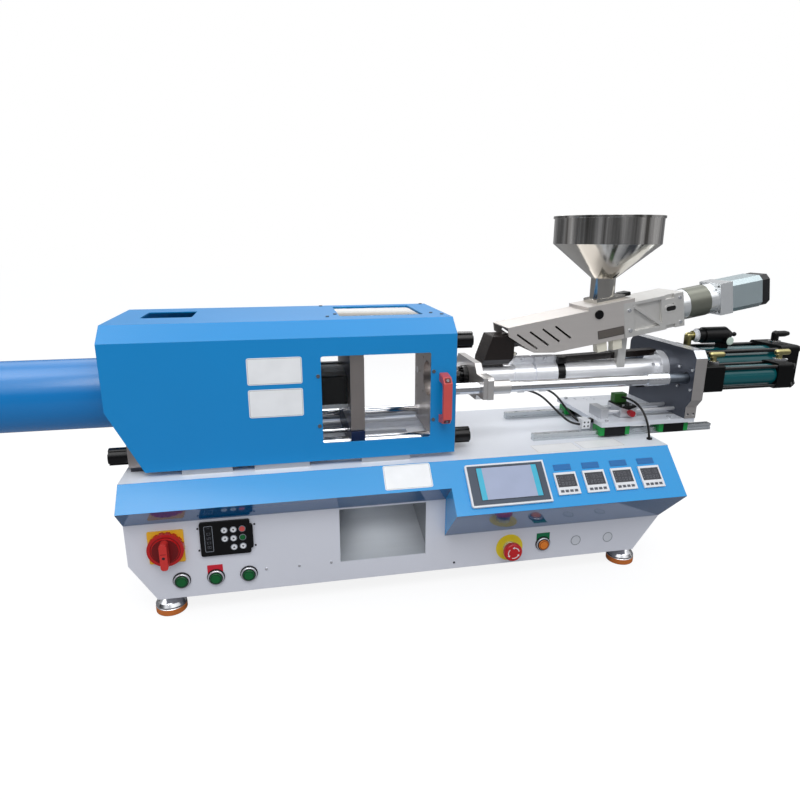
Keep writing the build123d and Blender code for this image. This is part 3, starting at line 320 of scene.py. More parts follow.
mt["bezel_ring"] = satin("bright_bezel", lin(226, 228, 233), 0.16, 0.70, (60, 60, 60), 0.015)
mt["name_dark"] = satin("plain_nameplate", lin(120, 114, 108), 0.30, 0.60, (10, 200, 200))
mt["slot_dark"] = plastic("slot_shadow", lin(12, 12, 14), 0.6, 0.0)
# darker red standing for the shade inside the handle pockets: painted shade
mt["red_pocket_painted_shade"] = plastic("red_pocket_painted_shade", lin(96, 16, 18), 0.5, 0.0)
mt["key_grey"] = plastic("key_grey", lin(150, 158, 170), 0.40)
mt["gauge"] = plastic("gauge_face", lin(206, 224, 212), 0.30, 0.0)
mt["label"] = plastic("blank_label", lin(244, 245, 246), 0.34, 0.0)
mt["label_edge"] = plastic("label_border", lin(150, 154, 160), 0.34, 0.0)
# dark print and marks, also used as painted shade for holes and sockets
mt["ink_and_hole_shade"] = plastic("dark_marking_and_hole_shade", lin(36, 38, 44), 0.45, 0.0)
mt["chalk"] = plastic("white_marking", lin(236, 236, 236), 0.45, 0.0)
mt["insul"] = plastic("black_cable", lin(18, 18, 20), 0.45, 0.05)
g = M("clear_pane", (0.10, 0.11, 0.115, 1.0), rough=0.05, spec=0.5, bevel=0.0)
g.b.inputs["Alpha"].default_value = 0.02
g.setcol(g.mixcol(g.remap(g.noise(12.0, 3, 0.6), 0, 1), (0.09, 0.10, 0.105, 1.0), (0.11, 0.12, 0.125, 1.0)))
mt["pane"] = g
t = M("clear_sheet_top", lin(235, 238, 240), metal=1.0, rough=0.03, bevel=0.0)
fr = t.nt.nodes.new("ShaderNodeFresnel")
fr.inputs["IOR"].default_value = 1.46
t.nt.links.new(fr.outputs[0], t.b.inputs["Alpha"])
mt["pane_top"] = t


def give(node, *rules, default):
    # rules: (material key, test on a face centre in working mm and its normal)
    o = NODES[node]
    me = o.data
    me.materials.clear()
    keys = [default] + [r[0] for r in rules]
    for k_ in keys:
        me.materials.append(mt[k_].mat)
    if rules:
        for p in me.polygons:
            c = p.center
            x, y, z = c.x * 1000 + BX, c.y * 1000 + BY, c.z * 1000
            for i, r in enumerate(rules):
                if r[1](x, y, z, p.normal):
                    p.material_index = i + 1
                    break
            else:
                p.material_index = 0


T = math.radians(9.7)


def feed_s(x, z):
    return (x - 1000) * math.cos(T) + (z - 541) * math.sin(T)


def feed_w(x, z):
    return -(x - 1000) * math.sin(T) + (z - 541) * math.cos(T)


def fs(x):
    return (x - 1000) / math.cos(T)


give("cabinet_shell", default="white")
give("deck_plate", default="deck")
give("cabinet_internals", default="grey_box")
# down-facing console faces take the darker blue copy as painted shade
give("console_panel", ("blue_under_shade", lambda x, y, z, n: n.z < -0.35), default="blue_console")


def sh(y, z):           # height above the console slope
    return (z - 290 - y) / math.sqrt(2)


def ss(y, z):           # distance down the console slope
    return (290 - z - y) / math.sqrt(2)


give("instrument_bezels", ("dark_face", lambda x, y, z, n: x < 200), ("slate", lambda x, y, z, n: 600 < x < 786 and sh(y, z) > 6.02),
     ("ctrl_key", lambda x, y, z, n: x > 786 and sh(y, z) > 4.02),
     ("ctrl_face", lambda x, y, z, n: x > 786 and 2.9 < sh(y, z) < 3.75 and 50 < ss(y, z) < 78), default="white_pl")
give("legend_plates", ("tag_red", lambda x, y, z, n: x < 200), ("yellow", lambda x, y, z, n: 680 < x < 760 and z < 200),
     ("tag_green", lambda x, y, z, n: 770 < x < 830 and z < 200), default="tag_blue")
give("parts_chute", ("stainless_side_shade", lambda x, y, z, n: abs(n.x) > 0.8), default="stainless")
give("levelling_feet", ("pad", lambda x, y, z, n: z < 13.2), default="chrome")
give("isolator_plate", ("black_pl", lambda x, y, z, n: y > 0.5), default="plate_yellow")
# front-most knob faces take the painted highlight, recessed front faces the painted shade
give("isolator_knob", ("red_lit", lambda x, y, z, n: y < -17.2), ("red_dark", lambda x, y, z, n: y < -16.9 and n.y < -0.5), default="red_knob")
give("keypad", ("red", lambda x, y, z, n: y < -5.001 and x > 160 and z > 172), ("green_btn", lambda x, y, z, n: y < -5.001 and x > 160 and 155 < z < 172),
     ("white_pl", lambda x, y, z, n: y < -5.001), default="black_pl")
give("panel_fittings", ("black_pl", lambda x, y, z, n: y > 2), ("plug_white", lambda x, y, z, n: x > 850), default="bezel_ring")
for b_ in ("button_left", "button_middle", "button_right"):
    give(b_, default="green_btn")
give("button_orange", default="orange_btn")
give("estop_stem", default="black_pl")
give("estop_head", default="estop")
give("rear_platen", default="platen")
give("fixed_platen", default="platen")
give("moving_platen", default="platen")
give("tie_bars", default="chrome")
give("tie_bar_nuts", default="black_ox")
give("clamp_cylinder", default="blue_cyl")
give("deck_strips", ("rail_light", lambda x, y, z, n: y < 45 or y > 315), ("deck", lambda x, y, z, n: y > 200), default="strip")
give("carriage_rods", ("sleeve", lambda x, y, z, n: 1049.9 < x < 1102.1), ("zinc", lambda x, y, z, n: x > 1102), default="chrome")
give("linear_rails", default="rail")
give("platen_fittings", ("rail", lambda x, y, z, n: z < 392.05 or z > 452.2 and x < 389 and z < 465), default="black_ox")
give("platen_shoe", default="navy")
give("clamp_ram", default="chrome")
give("ejector_rod", default="chrome")
give("hood_shell", ("screw", lambda x, y, z, n: y < 22.45 or z > 573.45), default="blue")
give("hood_panes", ("pane_top", lambda x, y, z, n: z > 535), default="pane")
give("hood_handle", default="red")
give("carriage_plate", ("screw_lt", lambda x, y, z, n: z > 328.05), default="plate_al")
give("guide_blocks", ("green_pl", lambda x, y, z, n: x < 962.05 or 1012.95 < x < 1109.05 or x > 1160.95), default="black_pl")
# top faces take the painted highlight, the large faces the painted shade
give("rear_plate", ("rear_top_highlight", lambda x, y, z, n: n.z > 0.5), ("rear_edge", lambda x, y, z, n: abs(n.y) > 0.5), default="rear_plate")
give("machine_screws", ("black_ox", lambda x, y, z, n: x < 660 or 940 < x < 975), default="screw_lt")
give("front_plate", default="front_plate")
give("cylinder_tubes", default="teal")
give("cylinder_blocks", ("tie_dark", lambda x, y, z, n: 1227.01 < x < 1365.9 and abs(y - 172) > 60 or x > 1404.1 and abs(y - 172) > 60 or x > 1490.1 or 1227.01 < x < 1439.9 and abs(y - 172) < 60),
     default="cyl_block")
give("pipe_fittings", ("black_pl", lambda x, y, z, n: x > 1450 and z > 479.05), ("gauge", lambda x, y, z, n: 1300 < x < 1332 and 140 < y < 146.01),
     ("white_pl", lambda x, y, z, n: 1231.01 < x < 1241.05 and y > 140), ("black_pl", lambda x, y, z, n: 1241.05 < x < 1353 and y > 140),
     ("silver_nut", lambda x, y, z, n: (y < 100 and z < 457.05) or (1449 < x < 1479 and z < 479.05)), default="brass")
give("barrel", default="barrel")
give("heater_bands", default="band")
give("nozzle", default="black_ox")
give("melt_block", ("black_ox", lambda x, y, z, n: 876.9 < x < 896.1 and z < 462.1), default="melt")
give("feed_shroud", default="shroud")
give("hopper", ("hopper_band", lambda x, y, z, n: abs(n.z) < 0.25 and z > 690), default="hopper")
give("hopper_gate", ("rail", lambda x, y, z, n: feed_s(x, z) < 35.9), default="black_pl")
give("feed_bracket", default="bracket")
give("feed_motor", ("motor_cap", lambda x, y, z, n: feed_s(x, z) > fs(1374) + 0.05),
     ("motor", lambda x, y, z, n: feed_s(x, z) > fs(1297) + 0.05),
     ("ring", lambda x, y, z, n: feed_s(x, z) > fs(1244) + 0.05 or feed_s(x, z) < fs(1192) - 0.05), default="gear")
give("feed_screw", default="chrome")
give("plunger", default="chrome")
give("stop_guide", default="stop_al")
give("stop_block", ("screw_lt", lambda x, y, z, n: z > 354.55), ("black_pl", lambda x, y, z, n: z > 349.95), default="stop_al")
give("stop_knob", default="knob_red")
give("carriage_electrics", ("green_dark", lambda x, y, z, n: 1013 < x < 1045 and 354 < z < 376), ("white_pl", lambda x, y, z, n: x < 938.01 and z < 329),
     ("cream", lambda x, y, z, n: z > 450), ("grey_pl", lambda x, y, z, n: x < 860 and z > 370), default="black_pl")


# ------------------------------------------------------- modelled details
R2 = math.sqrt(2.0)


def FR(u, v, h):        # cabinet front face: u along X, v up, h outwards
    return (u, -h, v)


def SL(u, s, h):        # console slope: s down the slope
    return (u, -(s + h) / R2, 290 + (h - s) / R2)


def HF(u, v, h):        # guard front face
    return (u, 22.5 - h, v)


def DK(u, v, h):        # deck
    return (u, v, 290 + h)


def FD(s, w, h):        # front side face of the feed unit, in its own sloping axes
    return (1000 + s * math.cos(T) - w * math.sin(T), 125 - h, 541 + s * math.sin(T) + w * math.cos(T))


class G:
    # a group of small solids that ride on one body
    def __init__(self, name, body, slot=None):
        self.name, self.body, self.slot = name, body, slot
        self.v, self.f, self.m, self.keys = [], [], [], []

    def key(self, k):
        if k not in self.keys:
            self.keys.append(k)
        return self.keys.index(k)

    def prism(self, fn, pts, h0, h1, k):
        # outline pts in the face plane, from height h0 to h1
        n, o, i = len(pts), len(self.v), self.key(k)
        self.v += [fn(p[0], p[1], h0) for p in pts] + [fn(p[0], p[1], h1) for p in pts]
        self.f += [tuple(o + j for j in range(n)), tuple(o + n + j for j in reversed(range(n)))]
        self.f += [(o + j, o + n + j, o + n + (j + 1) % n, o + (j + 1) % n) for j in range(n)]
        self.m += [i] * (n + 2)

    def band(self, fn, a, b, h0, h1, k):
        # closed strip between outlines a (outer) and b (inner)
        n, o, i = len(a), len(self.v), self.key(k)
        for h in (h0, h1):
            self.v += [fn(p[0], p[1], h) for p in a] + [fn(p[0], p[1], h) for p in b]
        for j in range(n):
            q = (j + 1) % n
            A0, A1, B0, B1 = o + j, o + q, o + n + j, o + n + q
            C0, C1, D0, D1 = o + 2 * n + j, o + 2 * n + q, o + 3 * n + j, o + 3 * n + q
            self.f += [(A0, A1, B1, B0), (C0, D0, D1, C1), (A0, C0, C1, A1), (B0, B1, D1, D0)]
            self.m += [i] * 4

    def box(self, fn, a0, a1, b0, b1, h0, h1, k):
        self.prism(fn, [(a0, b0), (a1, b0), (a1, b1), (a0, b1)], h0, h1, k)

    def rbox(self, fn, a0, a1, b0, b1, r, h0, h1, k):
        self.prism(fn, rr(a0, a1, b0, b1, r), h0, h1, k)

    def disc(self, fn, a, b, r, h0, h1, k, n=28):
        self.prism(fn, ring_pts(a, b, r, n), h0, h1, k)

    def annulus(self, fn, a, b, r0, r1, h0, h1, k, n=40):
        self.band(fn, ring_pts(a, b, r1, n), ring_pts(a, b, r0, n), h0, h1, k)

    def seg(self, fn, u, v, w, hgt, digit, h0, h1, k, turn=0, t=0.9):
        # a seven-segment figure centred at u, v
        on = {0: "abcdef", 1: "bc", 2: "abged", 3: "abgcd", 4: "fgbc", 5: "afgcd", 6: "afgedc", 7: "abc", 8: "abcdefg", 9: "abcdfg"}[digit]
        W_, H_ = w / 2, hgt / 2
        R_ = {"a": (-W_, W_, H_ - t, H_), "g": (-W_, W_, -t / 2, t / 2), "d": (-W_, W_, -H_, -H_ + t), "f": (-W_, -W_ + t, t / 2, H_ - t),
              "b": (W_ - t, W_, t / 2, H_ - t), "e": (-W_, -W_ + t, -H_ + t, -t / 2), "c": (W_ - t, W_, -H_ + t, -t / 2)}
        for s_ in on:
            a0, a1, b0, b1 = R_[s_]
            q = [(a0, b0), (a1, b0), (a1, b1), (a0, b1)]
            if turn == 1:
                q = [(-b, a) for a, b in q]
            elif turn == 2:
                q = [(a, -b) for a, b in q]
            self.prism(fn, [(u + a, v + b) for a, b in q], h0, h1, k)

    def tube(self, pts, r, k, n=12, cap=True):
        # round bar along working-mm points
        P = [Vector(p) for p in pts]
        o, i = len(self.v), self.key(k)
        t0 = (P[1] - P[0]).normalized()
        up_ = Vector((0, 0, 1)) if abs(t0.z) < 0.9 else Vector((1, 0, 0))
        a_ = t0.cross(up_).normalized()
        for j, p in enumerate(P):
            t_ = ((P[min(j + 1, len(P) - 1)] - P[max(j - 1, 0)])).normalized()
            a_ = (a_ - t_ * a_.dot(t_)).normalized()
            b_2 = t_.cross(a_)
            for q in range(n):
                w_ = 2 * math.pi * q / n
                c_ = p + (a_ * math.cos(w_) + b_2 * math.sin(w_)) * r
                self.v.append(tuple(c_))
        for j in range(len(P) - 1):
            for q in range(n):
                self.f.append((o + j * n + q, o + j * n + (q + 1) % n, o + (j + 1) * n + (q + 1) % n, o + (j + 1) * n + q))
                self.m.append(i)
        if cap:
            self.f += [tuple(o + q for q in reversed(range(n))), tuple(o + (len(P) - 1) * n + q for q in range(n))]
            self.m += [i, i]

    def build(self, smooth=False):
        me_ = bpy.data.meshes.new(self.name)
        me_.from_pydata([tuple(W(*p)) for p in self.v], [], self.f)
        for k_ in self.keys:
            me_.materials.append(mt[k_].mat)
        for p, i in zip(me_.polygons, self.m):
            p.material_index = i
            p.use_smooth = smooth
        b_ = bmesh.new()
        b_.from_mesh(me_)
        bmesh.ops.recalc_face_normals(b_, faces=b_.faces)
        b_.to_mesh(me_)
        b_.free()
        ob = bpy.data.objects.new(self.name, me_)
        bpy.context.collection.objects.link(ob)
        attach(ob, self.body)
        return ob


def ring_pts(a, b, r, n):
    return [(a + r * math.cos(2 * math.pi * i / n), b + r * math.sin(2 * math.pi * i / n)) for i in range(n)]


def rr(a0, a1, b0, b1, r, n=5):
    out = []
    for ca, cb, st in ((a1 - r, b0 + r, -90), (a1 - r, b1 - r, 0), (a0 + r, b1 - r, 90), (a0 + r, b0 + r, 180)):
        for i in range(n + 1):
            w_ = math.radians(st + 90 * i / n)
            out.append((ca + r * math.cos(w_), cb + r * math.sin(w_)))
    return out


# touch screen: slim slate frame, display with two cyan side bars and soft fields
d = G("screen_details", "base", "instrument_bezels")
d.band(SL, rr(628.6, 759.4, 22.6, 93.4, 1.5), rr(630, 758, 24, 92, 1.0), 7.0, 7.35, "slate_dark")
d.box(SL, 641.5, 746.5, 24.2, 91.8, 7.0, 7.15, "screen_c")
d.box(SL, 630.2, 641.5, 24.2, 91.8, 7.0, 7.15, "screen_cy")
d.box(SL, 746.5, 757.8, 24.2, 91.8, 7.0, 7.15, "screen_cy")
d.build()

# controllers: dark window with two rows of figures, small lamps
d = G("controller_details", "base", "instrument_bezels")
for j, x in enumerate((816.5, 879.9, 943.3, 1006.7)):
    d.band(SL, rr(x - 20.4, x + 20.4, 50.6, 77.4, 1.0), rr(x - 19.4, x + 19.4, 51.6, 76.4, 0.6), 3.6, 3.75, "ink_and_hole_shade")
    for i in range(4):
        d.seg(SL, x - 9 + 7.4 * i, 58.6, 4.6, 8.2, (0, 1, 8, 5)[(i + j) % 4], 3.6, 3.7, "digit_red", 2, 0.9)
        d.seg(SL, x - 9 + 7.4 * i, 70.2, 4.2, 6.6, (0, 2, 0, 0)[(i + j) % 4], 3.6, 3.7, "digit", 2, 0.8)
    for i in range(4):
        d.disc(SL, x - 17, 55.5 + 5.2 * i, 0.9, 3.6, 3.75, "digit_dim", 10)
    for i in range(4):
        d.disc(SL, x - 15 + 10 * i, 86.3, 1.0, 4.8, 4.95, "ink_and_hole_shade", 10)
d.build()

# keypad: glyph triangles, vertical figures, fixing screws
d = G("keypad_details", "base", "keypad")
tri = {0: (0, 1), 1: (0, -1), 2: (-1, 0), 3: (1, 0)}
for i, (x, z) in enumerate(((133.8, 182.5), (150.8, 182.6), (134, 164.4), (150.3, 164.2), (150.2, 145.4), (167.2, 146.2))):
    dx, dz = tri[i % 4]
    d.prism(FR, [(x + dx * 2.6, z + dz * 2.6), (x - dz * 2.2 - dx * 1.6, z + dx * 2.2 - dz * 1.6), (x + dz * 2.2 - dx * 1.6, z - dx * 2.2 - dz * 1.6)], 6.2, 6.3, "ink_and_hole_shade")
for x, z, k_ in ((133.8, 182.5, "digit_dim"), (150.8, 182.6, "digit_dim"), (134, 164.4, "digit_dim"), (150.3, 164.2, "digit_dim"), (150.2, 145.4, "digit_dim"),
                 (167.2, 146.2, "digit_dim"), (167.3, 182.8, "digit_dim"), (167.4, 164.8, "digit_dim")):
    d.annulus(FR, x, z, 5.3, 6.6, 5.0, 5.3, k_, 28)
for i, dg in enumerate((8, 0, 5, 0, 1)):
    d.seg(FR, 104.4, 149 + 9.4 * i, 5.0, 7.0, dg, 4.9, 5.0, "digit_red", 1, 0.9)
d.band(FR, rr(96.2, 112.3, 139.2, 193.8, 2.4), rr(97.2, 111.3, 140.2, 192.8, 1.8), 5.0, 5.35, "digit_dim")
for x, z, h in ((190.6, 143, 0), (190.6, 188, 0), (84.5, 142, 0), (84.5, 188, 0)):
    d.disc(FR, x, z, 1.9, h, h + 0.9, "ink_and_hole_shade", 16)
d.build()

# push buttons: black washers, dark lens edges
d = G("button_washers", "base", "panel_fittings")
for x, z in ((47, 81), (111, 81), (174, 81), (797, 81)):
    d.annulus(FR, x, z + 1.0, 15.2, 16.9, 0.0, 1.8, "black_pl", 40)
    d.annulus(FR, x, z, 11.25, 13.2, 4.9, 5.25, "ink_and_hole_shade", 40)
d.annulus(FR, 875, 81, 10.3, 11.6, 0.0, 0.4, "digit_dim")
d.annulus(FR, 952, 81, 10.3, 11.6, 0.0, 0.4, "digit_dim")
for x, z in ((597, 58), (597, 250), (1060, 262)):
    d.disc(FR, x, z, 2.4, 0.0, 0.8, "screw", 16)
d.build()
for body_, node_, x, z in (("button_1", "button_left", 47, 81), ("button_2", "button_middle", 111, 81), ("button_3", "button_right", 174, 81), ("button_4", "button_orange", 797, 81)):
    d = G(node_ + "_edge", body_, node_)
    d.annulus(FR, x, z, 8.6, 9.9, 8.0, 8.12, "orange_edge" if body_ == "button_4" else "green_edge", 36)
    d.build()

# stop button: three turning arrows on the cap
d = G("stop_arrows", "stop_button_head", "estop_head")
for i in range(3):
    a0 = math.radians(120 * i + 15)
    a1 = math.radians(120 * i + 85)
    outer = [(720 + 13.0 * math.cos(a0 + (a1 - a0) * j / 10), 81 + 13.0 * math.sin(a0 + (a1 - a0) * j / 10)) for j in range(11)]
    innr = [(720 + 11.2 * math.cos(a0 + (a1 - a0) * j / 10), 81 + 11.2 * math.sin(a0 + (a1 - a0) * j / 10)) for j in range(11)]
    d.prism(FR, outer + innr[::-1], 27.0, 27.12, "chalk")
    e_ = a1 + math.radians(20)
    d.prism(FR, [(720 + 15.2 * math.cos(a1), 81 + 15.2 * math.sin(a1)), (720 + 12.1 * math.cos(e_), 81 + 12.1 * math.sin(e_)), (720 + 9.0 * math.cos(a1), 81 + 9.0 * math.sin(a1))], 27.0, 27.12, "chalk")
d.build()

# isolator: pointer line and locking hole on the grip
d = G("isolator_details", "isolator_handle", "isolator_knob")
# the locking hole is a flat dark disc of painted shade; the pointer line groove and the ring round the knob's foot take
# the darker red of painted shade
d.disc(FR, 25.5, 151.0, 2.8, 36.0, 36.15, "ink_and_hole_shade", 20)
d.box(FR, 20.2, 30.8, 158.5, 159.5, 36.0, 36.12, "red_dark")
d.annulus(FR, 25.5, 155.5, 26.2, 27.6, 14.0, 14.2, "red_dark", 48)
d.build()

# blank labels where the photograph shows printed ones
d = G("guard_labels", "guard", "hood_shell")
for a0, a1, b0, b1 in ((194, 295.5, 459, 510.5), (194, 295.5, 395.5, 450)):
    d.rbox(HF, a0, a1, b0, b1, 4, 0.0, 0.35, "label")
    d.band(HF, rr(a0 + 1.5, a1 - 1.5, b0 + 1.5, b1 - 1.5, 3), rr(a0 + 2.1, a1 - 2.1, b0 + 2.1, b1 - 2.1, 2.6), 0.35, 0.42, "label_edge")
d.build()
d = G("console_label", "base", "console_panel")
d.rbox(SL, 443.5, 539, 1.5, 53.0, 4, 0.0, 0.35, "label")
d.band(SL, rr(445, 537.5, 3.0, 51.5, 3), rr(445.6, 536.9, 3.6, 50.9, 2.6), 0.35, 0.42, "label_edge")
d.build()
d = G("deck_labels", "base", "deck_plate")
for cx_, cy_, tilt_ in ((826, 30, 1.5), (932, 37, 2.5)):
    c6, s6 = math.cos(math.radians(tilt_)), math.sin(math.radians(tilt_))

    def DL(u, v, h, c6=c6, s6=s6, cx_=cx_, cy_=cy_):
        return (cx_ + u * c6 - v * s6, cy_ + u * s6 + v * c6, 290 + h)

    d.rbox(DL, -50, 50, -24, 24, 4, 0.0, 0.35, "label")
    d.band(DL, rr(-48.5, 48.5, -22.5, 22.5, 3), rr(-47.9, 47.9, -21.9, 21.9, 2.6), 0.35, 0.42, "label_edge")
d.build()
d = G("shroud_plate", "carriage", "feed_shroud")
d.rbox(FD, -48, 16, -29, -9.5, 1.2, 0.0, 0.5, "name_dark")
d.band(FD, rr(-47, 15, -28, -10.5, 1), rr(-46.4, 14.4, -27.4, -11.1, 0.8), 0.5, 0.58, "strip")
d.build()
d = G("bracket_slot", "carriage", "feed_bracket")
d.rbox(FD, 118.5, 150.5, -1.5, 16.5, 7.5, 0.0, 0.9, "bracket")
d.rbox(FD, 122.5, 146.5, 2.0, 12.5, 5.0, 0.9, 1.0, "slot_dark")
d.build()

# handle pockets: flat darker red patches of painted shade, each with its screw and a dark dot of painted shade for the
# screw's socket
d = G("handle_pockets", "guard", "hood_handle")


def HU(u, v, h):        # upper sloping end
    return (u, -3 - 0.6552 * v - 0.7555 * h, 464 - 0.7555 * v + 0.6552 * h)


def HL(u, v, h):        # lower sloping end
    return (u, -12.5 + 0.6552 * v - 0.7555 * h, 381 - 0.7555 * v - 0.6552 * h)


for fn in (HU, HL):
    d.rbox(fn, 565.8, 578.2, 1.8, 12.9, 2, 0.0, 0.15, "red_pocket_painted_shade")
    d.disc(fn, 572, 7.4, 2.6, 0.15, 0.9, "screw", 18)
    d.disc(fn, 572, 7.4, 1.3, 0.9, 1.0, "ink_and_hole_shade", 6)
d.build()

# sockets in the white plug, drawn as flat dark dots of painted shade
d = G("plug_sockets", "carriage", "carriage_electrics")


def PW(u, v, h):
    return (u, 90 - h, v)


for u, v in ((922.5, 322.5), (931.5, 322.5), (922.5, 313.5), (931.5, 313.5)):
    d.disc(PW, u, v, 2.1, 0.0, 0.3, "ink_and_hole_shade", 14)
d.build()

# ceramic terminal beside the melt block
d = G("heater_terminal", "carriage", "melt_block")


def TX(u, v, h):
    return (764.5 + h, u, v)


d.disc(TX, 152, 474, 4.2, 0.0, 9.0, "cream", 20)
d.disc(TX, 152, 474, 2.2, 9.0, 12.0, "screw", 16)
d.build()

# ------------------------------------------------------------ free cables
ROUTES = {
    "cable_a": ([(803, 169, 386), (822, 160, 383), (842, 146, 373), (858, 132, 356), (873, 119, 339), (889, 108, 324), (904, 102.5, 317), (919, 101.5, 315)], 0.1575),
    "cable_b": ([(856, 169, 385), (870, 162, 380), (883, 150, 368), (893, 137, 351), (903, 124, 335.5), (913, 113.5, 324), (922, 107, 317)], 0.1153),
    "cable_c": ([(1032, 129, 367), (1036, 113, 368), (1041, 97, 366), (1046, 81, 360), (1050, 66, 349), (1053, 55, 333.5), (1055.5, 47, 315), (1057, 42, 291)], 0.1339),
}
for nm, (pts, length_) in ROUTES.items():
    cu = bpy.data.curves.new(nm + "_line", "CURVE")
    cu.dimensions = "3D"
    cu.bevel_depth = 0.0025
    cu.bevel_resolution = 4
    cu.resolution_u = 12
    cu.use_fill_caps = True
    sp = cu.splines.new("NURBS")
    sp.points.add(len(pts) - 1)
    for q, p in zip(sp.points, pts):
        q.co = tuple(W(*p)) + (1.0,)
    sp.order_u = 3
    sp.use_endpoint_u = True
    cu.materials.append(mt["insul"].mat)
    ob = bpy.data.objects.new(nm + "_line", cu)
    bpy.context.collection.objects.link(ob)
    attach(ob, "carriage")
    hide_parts(nm)

# ------------------------------------------------------- floor and light
fm = M("studio_floor", (0.45, 0.45, 0.455, 1.0), rough=0.9, spec=0.0, bevel=0.0)
nt = fm.nt
fm.setcol(fm.mixcol(fm.remap(fm.noise(2.0, 3, 0.5), 0, 1), (0.44, 0.44, 0.445, 1), (0.46, 0.46, 0.465, 1)))
lp = nt.nodes.new("ShaderNodeLightPath")
pale = nt.nodes.new("ShaderNodeBsdfDiffuse")
pale.inputs["Color"].default_value = (0.86, 0.87, 0.89, 1.0)
glow = nt.nodes.new("ShaderNodeEmission")
glow.inputs["Color"].default_value = (1.0, 1.0, 1.0, 1.0)
glow.inputs["Strength"].default_value = 1.10
mixc = nt.nodes.new("ShaderNodeMixShader")
mixc.inputs[0].default_value = 0.78
nt.links.new(pale.outputs[0], mixc.inputs[1])
nt.links.new(glow.outputs[0], mixc.inputs[2])
dim = nt.nodes.new("ShaderNodeBsdfDiffuse")
dim.inputs["Color"].default_value = (0.26, 0.26, 0.265, 1.0)
mixg = nt.nodes.new("ShaderNodeMixShader")
nt.links.new(lp.outputs["Is Glossy Ray"], mixg.inputs[0])
nt.links.new(fm.b.outputs[0], mixg.inputs[1])
nt.links.new(dim.outputs[0], mixg.inputs[2])
mixa = nt.nodes.new("ShaderNodeMixShader")
nt.links.new(lp.outputs["Is Camera Ray"], mixa.inputs[0])
nt.links.new(mixg.outputs[0], mixa.inputs[1])
nt.links.new(mixc.outputs[0], mixa.inputs[2])
out = [n for n in nt.nodes if n.type == "OUTPUT_MATERIAL"][0]
nt.links.new(mixa.outputs[0], out.inputs["Surface"])
me = bpy.data.meshes.new("floor")
bm = bmesh.new()
bmesh.ops.create_grid(bm, x_segments=4, y_segments=4, size=14.0)
bm.to_mesh(me)
bm.free()
floor = bpy.data.objects.new("floor", me)
floor.location = (0, 0, 0)
me.materials.append(fm.mat)
bpy.context.collection.objects.link(floor)

world = bpy.data.worlds.new("studio")
scene.world = world
world.use_nodes = True
wn = world.node_tree
bg = wn.nodes["Background"]
tc = wn.nodes.new("ShaderNodeTexCoord")
sep = wn.nodes.new("ShaderNodeSeparateXYZ")
wn.links.new(tc.outputs["Generated"], sep.inputs[0])


def ramp(fac, stops):
    n = wn.nodes.new("ShaderNodeValToRGB")
    e = n.color_ramp.elements
    while len(e) > 1:
        e.remove(e[-1])
    e[0].position, e[0].color = stops[0][0], stops[0][1] + (1.0,)
    for p, c in stops[1:]:
        q = e.new(p)
        q.color = c + (1.0,)
    wn.links.new(fac, n.inputs["Fac"])
    return n.outputs["Color"]


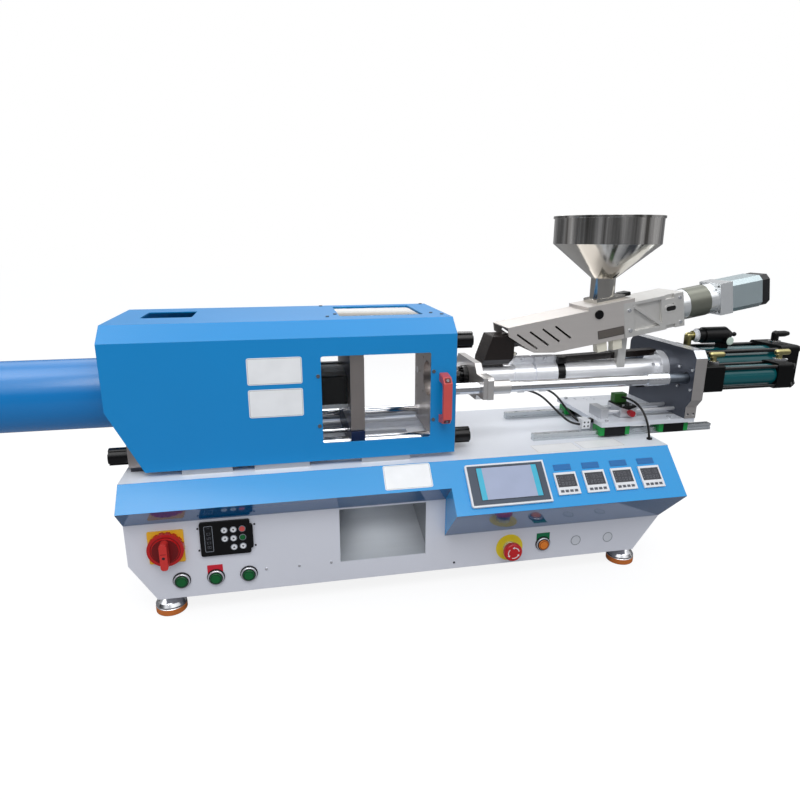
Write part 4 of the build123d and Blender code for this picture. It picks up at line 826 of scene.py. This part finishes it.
half = wn.nodes.new("ShaderNodeMath")
half.operation = "MULTIPLY_ADD"
half.inputs[1].default_value = 0.5
half.inputs[2].default_value = 0.5
wn.links.new(sep.outputs["Z"], half.inputs[0])
soft = ramp(half.outputs[0], [(0.0, (0.24, 0.25, 0.27)), (0.49, (0.26, 0.27, 0.29)), (0.5, (0.30, 0.31, 0.33)), (0.75, (0.62, 0.635, 0.66)), (1.0, (0.94, 0.955, 0.98))])
room = ramp(half.outputs[0], [(0.0, (0.22, 0.22, 0.23)), (0.48, (0.20, 0.20, 0.21)), (0.553, (0.16, 0.16, 0.165)), (0.556, (0.85, 0.80, 0.74)), (0.558, (0.80, 0.76, 0.70)), (0.559, (2.6, 2.6, 2.6)),
                              (0.5615, (2.6, 2.6, 2.6)), (0.5625, (0.72, 0.68, 0.62)), (0.566, (0.60, 0.56, 0.52)), (0.568, (0.10, 0.10, 0.105)), (0.64, (0.16, 0.16, 0.165)), (0.71, (0.80, 0.81, 0.83)),
                              (0.82, (1.60, 1.61, 1.63)), (0.90, (2.7, 2.7, 2.7)), (1.0, (4.2, 4.2, 4.2))])
nz = wn.nodes.new("ShaderNodeTexNoise")
nz.inputs["Scale"].default_value = 1.6
nz.inputs["Detail"].default_value = 1.0
wn.links.new(tc.outputs["Generated"], nz.inputs["Vector"])
spots = ramp(nz.outputs["Fac"], [(0.36, (0.45, 0.45, 0.45)), (0.50, (1.0, 1.0, 1.0)), (0.62, (1.5, 1.48, 1.45))])
mul = wn.nodes.new("ShaderNodeMix")
mul.data_type = "RGBA"
mul.blend_type = "MULTIPLY"
mul.inputs[0].default_value = 1.0
wn.links.new(room, mul.inputs[6])
wn.links.new(spots, mul.inputs[7])
wlp = wn.nodes.new("ShaderNodeLightPath")
m1 = wn.nodes.new("ShaderNodeMix")
m1.data_type = "RGBA"
wn.links.new(wlp.outputs["Is Glossy Ray"], m1.inputs[0])
wn.links.new(soft, m1.inputs[6])
wn.links.new(mul.outputs[2], m1.inputs[7])
m2 = wn.nodes.new("ShaderNodeMix")
m2.data_type = "RGBA"
wn.links.new(wlp.outputs["Is Camera Ray"], m2.inputs[0])
wn.links.new(m1.outputs[2], m2.inputs[6])
m2.inputs[7].default_value = (1.0, 1.0, 1.0, 1.0)
wn.links.new(m2.outputs[2], bg.inputs["Color"])
bg.inputs["Strength"].default_value = 1.0


def area(name, at, target, size, power, color=(1, 1, 1)):
    d_ = bpy.data.lights.new(name, "AREA")
    d_.shape = "RECTANGLE"
    d_.size, d_.size_y = size
    d_.energy = power
    d_.color = color
    o_ = bpy.data.objects.new(name, d_)
    o_.location = at
    o_.rotation_euler = (Vector(target) - Vector(at)).to_track_quat("-Z", "Y").to_euler()
    bpy.context.collection.objects.link(o_)


area("key", (-0.4, -2.0, 2.7), (0.1, 0.0, 0.4), (2.6, 1.3), 40)
area("back", (0.1, 1.7, 2.0), (0.0, 0.05, 0.35), (1.8, 0.8), 20)
